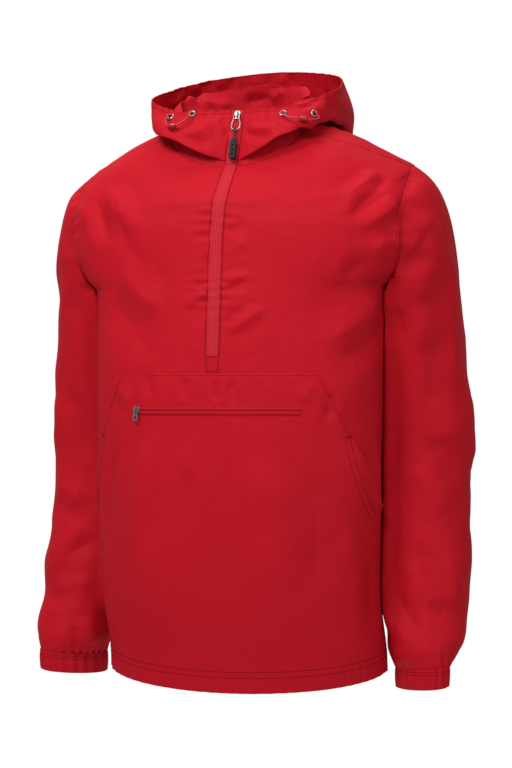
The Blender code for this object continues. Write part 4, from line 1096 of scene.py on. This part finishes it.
for name, sign in (("upper", 1), ("lower", -1)):
    levels = sorted((POCKET_ZIP_LEVEL + sign * SLIT, POCKET_ZIP_LEVEL + sign * LIP_DEPTH))
    strip = strip_of(pocket_outline.copy(), *levels, *POCKET_ZIP_ENDS)

    def lip_height(place):
        """High along the slit, rolled down at it, and low where the lip is sewn to the pocket."""
        depth = abs(place.z - POCKET_ZIP_LEVEL) / LIP_DEPTH
        roll = 1 - (1 - min(1, depth / LIP_ROLL)) ** 2
        return LIP_LIFT * (LIP_EDGE + (1 - LIP_EDGE) * roll) * (1 - LIP_DROP * ramp(depth, LIP_FALL, 1.0))

    lip = thickened(add_piece(f"pocket_lip_{name}_cloth", lifted(strip, lip_height), red_nylon), CLOTH)
    weave_map(lip.data)
    finish_cloth(lip, f"pocket_lip_{name}", (0.228, 0.0105), "folded", rests_on=[pocket], area=0.0017)

patch_sheet = strip_of(front_face(), *PATCH_LEVELS, -PATCH_HALF, PATCH_HALF)
lifted(patch_sheet, lambda place: PATCH_LIFT)
patch = thickened(add_piece("zip_end_patch_cloth", patch_sheet, red_nylon), CLOTH)
weave_map(patch.data)
finish_cloth(patch, "zip_end_patch", (0.018, 0.0195), "stretched", rests_on=[panel_pieces["front"]])

# %% [markdown]
# The cuffs are narrow bands drawn in by elastic. Their solids already carry the gathers, so each one
# only gets a small round along its corners, and is then subdivided through its own points.

# %% Cuffs
CUFF_FINENESS = 2
CUFF_CORNER = math.radians(62)
CUFF_ROUND = 0.3 * MM
CUFF_MIDDLE = 0.245
CUFF_RADIUS = 0.04


def bevelled(mesh, corner, offset, segments):
    """Gives a small round to every edge that bends more than a corner does."""
    sharp = [edge for edge in mesh.edges if len(edge.link_faces) == 2 and edge.calc_face_angle() > corner]
    bmesh.ops.bevel(
        mesh,
        geom=sharp,
        offset=offset,
        offset_type="OFFSET",
        segments=segments,
        profile=0.5,
        affect="EDGES",
        clamp_overlap=True,
        material=-1,
    )


for side, sign in (("left", 1), ("right", -1)):
    band = merged_copy(f"cuff_{side}")
    pair_triangles(band, 60)
    bevelled(band, CUFF_CORNER, CUFF_ROUND, 1)
    cuff = add_piece(f"cuff_{side}_cloth", through_its_points(mesh_of(band), CUFF_FINENESS), gathered_nylon)
    weave_map(cuff.data, sign * CUFF_MIDDLE, 0.0, CUFF_RADIUS)
    finish_cloth(cuff, f"cuff_{side}", (0.32, 0.028), "gathered", rests_on=[f"sleeve_{side}_cloth"])

# %% [markdown]
# Inside a garment, each seam has its allowance, bound into a narrow tape. It also closes the hairline
# between two panels, so no light comes through. The tape is the seam's own line, widened by extruding
# its edges to both sides, and laid just under the cloth. The zip's tapes have no such allowance.

# %% Seam allowances
BINDING_HALF = 3.2 * MM
BINDING_DEPTH = 1.0 * MM
BINDING = 0.3 * MM
shell_tree = tree


def sideways(line, tree):
    """For each point of a line on a surface: the point, the way across the line and the surface's normal."""
    for k, point in enumerate(line):
        ahead = Vector(line[min(k + 1, len(line) - 1)]) - Vector(line[max(k - 1, 0)])
        at, normal, _, _ = tree.find_nearest(Vector(point))
        yield Vector(point), ahead.cross(normal).normalized(), normal


def taped(line, tree, half_width, depth):
    """A ribbon that follows a line on a surface, sunk by a depth."""
    mesh = bmesh.new()
    verts = [mesh.verts.new(point) for point in line]
    for pair in zip(verts, verts[1:]):
        mesh.edges.new(pair)
    ways = list(sideways(line, tree))
    middle_edges = mesh.edges[:]
    for sign in (1, -1):
        widened = bmesh.ops.extrude_edge_only(mesh, edges=middle_edges)
        side = [item for item in widened["geom"] if isinstance(item, bmesh.types.BMVert)]
        for vert in side:
            k = min(range(len(line)), key=lambda number: (ways[number][0] - vert.co).length_squared)
            vert.co += ways[k][1] * half_width * sign
    for vert in mesh.verts:
        at, normal, _, _ = tree.find_nearest(vert.co)
        vert.co = at - normal * depth
    bmesh.ops.recalc_face_normals(mesh, faces=mesh.faces[:])
    return mesh


bindings = bmesh.new()
for pair, lines in sorted(seams.items(), key=lambda item: sorted(item[0])):
    if len(pair) == 1 or any(name.startswith("zip_tape") for name in pair):
        continue
    for line in lines:
        ribbon = taped([points[k] for k in line], shell_tree, BINDING_HALF, BINDING_DEPTH)
        bindings.from_mesh(mesh_of(ribbon))
binding = thickened(add_piece("seam_allowances", bindings, red_nylon), BINDING)
weave_map(binding.data)
hand_over(binding)
print("seam allowances:", len(binding.data.polygons), "faces")

# %% [markdown]
# The half zip is a coil zip turned face down, so its flat side shows. All that is seen of the coil is a
# fine rib on each side of the line where the tapes meet: a row of small bars, one for each turn. A band
# of the same tape behind them closes that line, as the coil does.

# %% Ribs of the half zip
RIB_OUT = 1.30 * MM
RIB = (0.95 * MM, 0.62 * MM, 0.55 * MM)
RIB_PITCH = 1.5 * MM
RIB_LIFT = 0.12 * MM
CORE_HALF = 2.4 * MM
CORE_DEPTH = 0.25 * MM


def spaced(line, pitch):
    """Points at an even pitch along a line."""
    line = np.array([list(point) for point in line])
    steps = np.linalg.norm(np.diff(line, axis=0), axis=1)
    walked = np.concatenate([[0], np.cumsum(steps)])
    count = max(2, round(walked[-1] / pitch) + 1)
    at = np.linspace(0, walked[-1], count)
    return [Vector([np.interp(value, walked, line[:, axis]) for axis in range(3)]) for value in at]


def beside(line, tree, offset):
    """A line moved across a surface by an offset."""
    return [tree.find_nearest(point + way * offset)[0] for point, way, _ in sideways(line, tree)]


def bead_row(mesh, line, tree, pitch, half_sizes, lift):
    """Small rounded bars along a line: half their length, half their width and half their height."""
    size = Matrix.Diagonal((*half_sizes, 1))
    line = spaced(line, pitch)
    for start, end in zip(line, line[1:]):
        at, normal, _, _ = tree.find_nearest((start + end) / 2)
        along = (end - start).normalized()
        up = (normal - along * normal.dot(along)).normalized()
        turn = Matrix((along, up.cross(along), up)).transposed().to_4x4()
        spot = Matrix.Translation(at + normal * lift) @ turn @ size
        bmesh.ops.create_icosphere(mesh, subdivisions=1, radius=1, matrix=spot)
    return len(line) - 1


zip_line = [points[k] for k in seams[frozenset(("zip_tape_left", "zip_tape_right"))][0]]
if zip_line[0][2] < zip_line[-1][2]:
    zip_line.reverse()
ribs = bmesh.new()
for sign in (1, -1):
    row = beside(spaced(zip_line, 2 * MM), shell_tree, sign * RIB_OUT)
    rib_count = bead_row(ribs, row, shell_tree, RIB_PITCH, RIB, RIB_LIFT)
core = taped(spaced(zip_line, 3 * MM), shell_tree, CORE_HALF, CORE_DEPTH)
rib_piece = add_piece("zip_ribs", ribs, coil_red)
core_piece = thickened(add_piece("zip_core", core, tape_red), BINDING)
for piece in (rib_piece, core_piece):
    weave_map(piece.data)
    hand_over(piece)
print("zip ribs:", rib_count, "bars on each side")

# %% [markdown]
# Topstitching is thousands of equal stitches, so each is only a twenty-sided bead, drawn out along its
# row and pressed half into the cloth. A row follows a real line: the hem, the zip, the pocket's edges.

# %% Stitches
STITCH_PITCH = 3.0 * MM
STITCH = (1.28 * MM, 0.50 * MM, 0.34 * MM)
STITCH_LIFT = 0.12 * MM
stitches = bmesh.new()
stitch_count = 0


def sew(line, tree):
    """Adds a row of stitches along a line on a surface."""
    global stitch_count
    stitch_count += bead_row(stitches, line, tree, STITCH_PITCH, STITCH, STITCH_LIFT)


def inside_of(line, tree, offset):
    """A line moved into the cloth from its free edge, to whichever side the cloth is on."""
    tries = []
    for sign in (1, -1):
        row, miss = [], 0.0
        for point, way, _ in sideways(line, tree):
            at, _, _, away = tree.find_nearest(point + way * offset * sign)
            row.append(at)
            miss += away
        tries.append((miss, row))
    return min(tries, key=lambda item: item[0])[1]


HEM_ROWS = (27.2 * MM, 19.8 * MM)
ZIP_ROW = 1.9 * MM
CLEAR_OF_ZIP = 4 * MM
EDGE_ROWS = (2.0 * MM, 8.0 * MM)
SEAM_ROW = 1.9 * MM
RIM_ROW = 4.5 * MM
POCKET_REACH = 5 * MM
LOOK_PITCH = 6 * MM
SHOULDER_LEVEL = -0.10
BAR_TACK = 7 * MM
BAR_TACK_OUT = 1.0 * MM
BAR_TACK_SLOPE = 1.5 * MM
BAR_TACK_STEP = 0.8 * MM
MOUTH_ROW_BACK = 4 * MM
LIP_ROW = 5 * MM
LIP_ROW_INSET = 2 * MM
PATCH_INSET = 1.3 * MM
top_tree = tree_of(panel_pieces["front"], panel_pieces["back"], pocket)


def on_top(place):
    """The nearest place on the outermost cloth: the pocket where it covers the front, or else the body."""
    at, _, _, _ = pocket_tree.find_nearest(place, POCKET_REACH)
    return at or torso_tree.find_nearest(place)[0]


def moved(line, pitch, step):
    """A line on the torso, spaced evenly and moved across the cloth by a step."""
    return [torso_tree.find_nearest(point + Vector(step))[0] for point in spaced(line, pitch)]


for name in ("front", "back"):
    for line in seams[frozenset((name,))]:
        hem = [points[k] for k in line]
        for row in HEM_ROWS:
            sew([on_top(Vector(point) + Vector((0, 0, row))) for point in hem], top_tree)
for side, away in (("left", 1), ("right", -1)):
    for line in seams[frozenset(("front", f"zip_tape_{side}"))]:
        edge = moved([points[k] for k in line], 4 * MM, (away * ZIP_ROW, 0, 0))
        sew([point for point in edge if abs(point.x) > CLEAR_OF_ZIP], torso_tree)
    for name in ("front", "back"):
        for line in seams.get(frozenset((name, f"sleeve_{side}")), []):
            sew(moved([points[k] for k in line], 5 * MM, (-away * SEAM_ROW, 0, 0)), torso_tree)
    for line in seams[frozenset((f"hood_{side}",))]:
        edge = spaced([points[k] for k in line], 4 * MM)
        sew(inside_of(edge, shell_tree, RIM_ROW), shell_tree)
for line in seams[frozenset(("front", "back"))]:
    if points[line][:, 2].mean() > SHOULDER_LEVEL:
        sew(moved([points[k] for k in line], 5 * MM, (0, SEAM_ROW, 0)), torso_tree)


def sew_across(tree, start, end):
    """A straight row on a surface, between two places (x, z) seen from the front."""
    steps = max(3, round(math.dist(start, end) / LOOK_PITCH))
    row = []
    for k in range(steps + 1):
        x, z = (a + (b - a) * k / steps for a, b in zip(start, end))
        at, _ = on_front(tree, x, z)
        if at is not None:
            row.append(at)
    sew(row, tree)


for inset in EDGE_ROWS:
    for sign in (1, -1):
        corner = (sign * (POCKET_TOP_HALF - inset), POCKET_TOP - inset)
        tack = (sign * (POCKET_TACK[0] - inset), POCKET_TACK[1])
        mouth_end = (sign * (POCKET_MOUTH_END[0] - inset - MOUTH_ROW_BACK), POCKET_MOUTH_END[1])
        sew_across(pocket_tree, tack, mouth_end)
        if inset == EDGE_ROWS[0]:
            sew_across(pocket_tree, corner, tack)
top_half, top = POCKET_TOP_HALF - EDGE_ROWS[0], POCKET_TOP - EDGE_ROWS[0]
sew_across(pocket_tree, (-top_half, top), (top_half, top))
for sign in (1, -1):
    outer = POCKET_TACK[0] + BAR_TACK_OUT
    for step in range(3):
        level = POCKET_TACK[1] + step * BAR_TACK_STEP
        inner_end = (sign * (outer - BAR_TACK), level - BAR_TACK_SLOPE)
        sew_across(pocket_tree, inner_end, (sign * (outer - BAR_TACK_SLOPE), level))
left, right = POCKET_ZIP_ENDS[0] + LIP_ROW_INSET, POCKET_ZIP_ENDS[1] - LIP_ROW_INSET
for name, sign in (("upper", 1), ("lower", -1)):
    level = POCKET_ZIP_LEVEL + sign * LIP_ROW
    sew_across(tree_of(bpy.data.objects[f"pocket_lip_{name}_cloth"]), (left, level), (right, level))
patch_tree = tree_of(patch)
side = PATCH_HALF - PATCH_INSET
low, high = PATCH_LEVELS[0] + PATCH_INSET, PATCH_LEVELS[1] - PATCH_INSET
box = ((-side, low), (side, low), (side, high), (-side, high))
for start, end in zip(box, box[1:] + box[:1]):
    sew_across(patch_tree, start, end)

# %% [markdown]
# The hood's rim is a casing: the edge is rolled over the drawcord, so it is round and a little thicker
# than the cloth. A thin tube along the free edge gives that roll.

# %% Rolled edges
ROLL_RADIUS = 0.85 * MM


def tube(name, line, radius, smoothness):
    """A curve object with a round section that follows a line."""
    curve = bpy.data.curves.new(name, "CURVE")
    curve.dimensions = "3D"
    curve.bevel_depth = radius
    curve.bevel_resolution = smoothness
    curve.use_fill_caps = True
    spline = curve.splines.new("POLY")
    spline.points.add(len(line) - 1)
    for knot, point in zip(spline.points, line):
        knot.co = (*point, 1)
    made = bpy.data.objects.new(name, curve)
    bpy.context.scene.collection.objects.link(made)
    return made


def rolled(name, line, tree):
    """A tube along a free edge, on the middle of the cloth's thickness."""
    middle = []
    for point in line:
        at, normal, _, _ = tree.find_nearest(point)
        middle.append(at - normal * CLOTH / 2)
    curved = tube(name, middle, ROLL_RADIUS, 2)
    bpy.context.view_layer.update()
    made = bpy.data.meshes.new_from_object(curved.evaluated_get(bpy.context.evaluated_depsgraph_get()))
    bpy.data.objects.remove(curved)
    roll = add_piece(name, made, red_nylon, 60)
    weave_map(roll.data)
    hand_over(roll)


for name in ("hood_left", "hood_right"):
    for number, line in enumerate(seams[frozenset((name,))]):
        rolled(f"{name}_rolled_edge_{number}", spaced([points[k] for k in line], 3 * MM), shell_tree)

# %% [markdown]
# Two rows of stitches hold the elastic in each cuff, close under the sleeve's edge. They follow the
# gathers, so each point of a row is found by looking at the cuff from outside.

# %% Rows round the cuffs
CUFF_ROWS = (-0.7022, -0.7058)
CUFF_RISE = 3.5 * MM
CUFF_REACH = 0.15
CUFF_LOOKS = 97
for side, sign in (("left", 1), ("right", -1)):
    cuff_tree = tree_of(bpy.data.objects[f"cuff_{side}_cloth"])
    for level in CUFF_ROWS:
        row = []
        for turn in np.linspace(0, 2 * math.pi, CUFF_LOOKS):
            outward = Vector((math.cos(turn), math.sin(turn), 0))
            middle = Vector((sign * CUFF_MIDDLE, 0, level + CUFF_RISE * outward.x * sign))
            at, _, _, _ = cuff_tree.ray_cast(middle + outward * CUFF_REACH, -outward)
            if at is not None:
                row.append(at)
        sew(row, cuff_tree)
# The stitches' dark thread is painted shade of the groove that they lie in.
hand_over(add_piece("topstitching", stitches, thread_red_painted_shade))
print("stitches:", stitch_count)

# %% [markdown]
# The metal is nickel-plated: bright, with soft scuffs that show only in its roughness. The grip is
# moulded rubber with a fine grain, and the small barrels on the cords are clear red plastic.

# %% Finishes of the fittings
SCUFF_SCALE = 900.0
BRUSH_SCALE = 1500.0
BRUSH_DEPTH = 0.02 * MM
SMOOTHER, ROUGHER = 0.08, 0.14


def worn_metal(name, colour, roughness):
    """A metal whose roughness varies a little below and above a value."""
    made = new_material(name, colour, roughness, 1.0)
    tree = made.node_tree
    place = tree.nodes.new("ShaderNodeTexCoord").outputs["Object"]
    spread = tree.nodes.new("ShaderNodeMapRange")
    tree.links.new(noise_at(tree, place, SCUFF_SCALE, 3.0), spread.inputs["Value"])
    spread.inputs["To Min"].default_value = roughness - SMOOTHER
    spread.inputs["To Max"].default_value = roughness + ROUGHER
    shader = tree.nodes["Principled BSDF"]
    tree.links.new(spread.outputs["Result"], shader.inputs["Roughness"])
    tree.links.new(bumped(tree, noise_at(tree, place, BRUSH_SCALE), BRUSH_DEPTH), shader.inputs["Normal"])
    return made


def grained(name, colour, second, roughness, scale, depth):
    """A finish of two close colours with a fine grain of a real depth."""
    made = new_material(name, colour, roughness)
    tree = made.node_tree
    place = tree.nodes.new("ShaderNodeTexCoord").outputs["Object"]
    shader = tree.nodes["Principled BSDF"]
    mottled = blended(tree, noise_at(tree, place, scale / 3), colour, second)
    tree.links.new(mottled, shader.inputs["Base Color"])
    tree.links.new(bumped(tree, noise_at(tree, place, scale, 3.0), depth), shader.inputs["Normal"])
    return made


nickel = worn_metal("nickel", (0.36, 0.35, 0.33), 0.30)
dull_nickel = worn_metal("dull nickel", (0.34, 0.33, 0.31), 0.36)
RUBBER, RUBBER_WORN = (0.007, 0.007, 0.008), (0.012, 0.012, 0.013)
moulded_rubber = grained("moulded rubber", RUBBER, RUBBER_WORN, 0.48, 1800.0, 0.03 * MM)
black_braid = grained("black braid", (0.030, 0.022, 0.024), (0.075, 0.020, 0.024), 0.75, 2600.0, 0.08 * MM)
red_braid = grained("red braid", (0.560, 0.016, 0.026), (0.420, 0.010, 0.018), 0.45, 2600.0, 0.08 * MM)
red_plastic = grained("red plastic", (0.560, 0.012, 0.022), (0.440, 0.008, 0.016), 0.28, 500.0, 0.02 * MM)
red_plastic.node_tree.nodes["Principled BSDF"].inputs["Transmission Weight"].default_value = 0.25
moulded_rubber.node_tree.nodes["Principled BSDF"].inputs["Specular IOR Level"].default_value = 0.12
# The hole material is painted shade: a near-black stand-in for the shadow inside each eyelet's hole.
painted_hole_shade = new_material("hole", (0.012, 0.004, 0.005), 0.9)

# %% [markdown]
# The fittings' solids are right in size, but their edges are sharp. A copy of each is merged, its flat
# faces are cleared of inner edges, and every real edge gets a small round. What is round already, such
# as the wire ring and the eyelets, is made smoother by subdivision instead.

# %% Metal and rubber
EDGE_ROUND = 0.22 * MM
SHARP = math.radians(28)
FITTING_FINENESS = 2
HOLE_RADIUS = 3.1 * MM
HOLE_DEPTH = 0.45 * MM


def rounded_copy(node, material, body="body", offset=EDGE_ROUND):
    """A copy of a fitting whose real edges are rounded."""
    copy = merged_copy(node)
    bmesh.ops.dissolve_limit(copy, angle_limit=math.radians(1), verts=copy.verts[:], edges=copy.edges[:])
    bevelled(copy, SHARP, offset, 3)
    bmesh.ops.triangulate(copy, faces=[face for face in copy.faces if len(face.verts) > 4])
    piece = add_piece(f"{node}_finished", copy, material, 35)
    hand_over(piece, body, node)
    return piece


def smooth_copy(node, material, body="body"):
    """A copy of a round fitting, made smoother by subdivision."""
    copy = merged_copy(node)
    pair_triangles(copy, 40)
    piece = add_piece(f"{node}_finished", through_its_points(mesh_of(copy), FITTING_FINENESS), material, 60)
    hand_over(piece, body, node)
    return piece


rounded_copy("slider", nickel)
rounded_copy("pocket_slider", dull_nickel, offset=0.16 * MM)
rounded_copy("pocket_tab", dull_nickel, "tab", 0.14 * MM)
rounded_copy("pull_grip", moulded_rubber, "pull", 0.45 * MM)
smooth_copy("pull_ring", nickel, "pull")
smooth_copy("pull_loop", black_braid, "pull")

for node in [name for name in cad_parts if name.startswith("eyelet")]:
    spots = places(smooth_copy(node, nickel).data)
    middle = spots.mean(0)
    # A flat ring's last direction of spread is the one that it faces.
    facing = Vector(np.linalg.svd(spots - middle, full_matrices=False)[2][2])
    if facing.y > 0:
        facing.negate()
    turn = facing.to_track_quat("Z", "Y").to_matrix().to_4x4()
    sunk = Matrix.Translation(Vector(middle) - facing * HOLE_DEPTH) @ turn
    # A near-black disc just under each eyelet is painted shade for the shadowed inside of its hole.
    dark = bmesh.new()
    bmesh.ops.create_circle(dark, cap_ends=True, segments=24, radius=HOLE_RADIUS, matrix=sunk)
    hand_over(add_piece(f"{node}_hole", dark, painted_hole_shade))

# %% [markdown]
# Each drawcord leaves one eyelet, passes through its small barrel and goes back into the next eyelet.
# It is elastic and limp, so it bows a little off the cloth. The curve follows the same route as the
# solid cord does.

# %% Drawcords
CORD_DIAMETER = 2.4 * MM
DRAWCORDS = {
    "left": (
        0.0798,
        (
            (0.0736, -0.0601, 0.0198),
            (0.0738, -0.0631, 0.0218),
            (0.0753, -0.0685, 0.0179),
            (0.0843, -0.0715, 0.0124),
            (0.0960, -0.0687, 0.0109),
            (0.1008, -0.0657, 0.0103),
            (0.1055, -0.0627, 0.0098),
            (0.1103, -0.0597, 0.0093),
            (0.1188, -0.0473, 0.0123),
            (0.1152, -0.0470, 0.0200),
            (0.1125, -0.0446, 0.0193),
        ),
    ),
    "right": (
        0.0770,
        (
            (-0.0529, -0.0566, 0.0252),
            (-0.0526, -0.0596, 0.0271),
            (-0.0533, -0.0654, 0.0223),
            (-0.0581, -0.0715, 0.0138),
            (-0.0684, -0.0747, 0.0077),
            (-0.0723, -0.0744, 0.0075),
            (-0.0762, -0.0742, 0.0074),
            (-0.0801, -0.0739, 0.0072),
            (-0.0858, -0.0681, 0.0167),
            (-0.0836, -0.0594, 0.0250),
            (-0.0832, -0.0566, 0.0229),
        ),
    ),
}
for side, (length, route) in DRAWCORDS.items():
    barrel = rounded_copy(f"cord_lock_{side}", red_plastic, offset=0.3 * MM)
    braid = tube(f"drawcord_{side}_braid", rounded(route, 6), CORD_DIAMETER / 2, 4)
    braid.data.materials.append(red_braid)
    hand_over(braid, node=f"drawcord_{side}")
    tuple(route[0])
    print(f"drawcord_{side}:", length, "m")
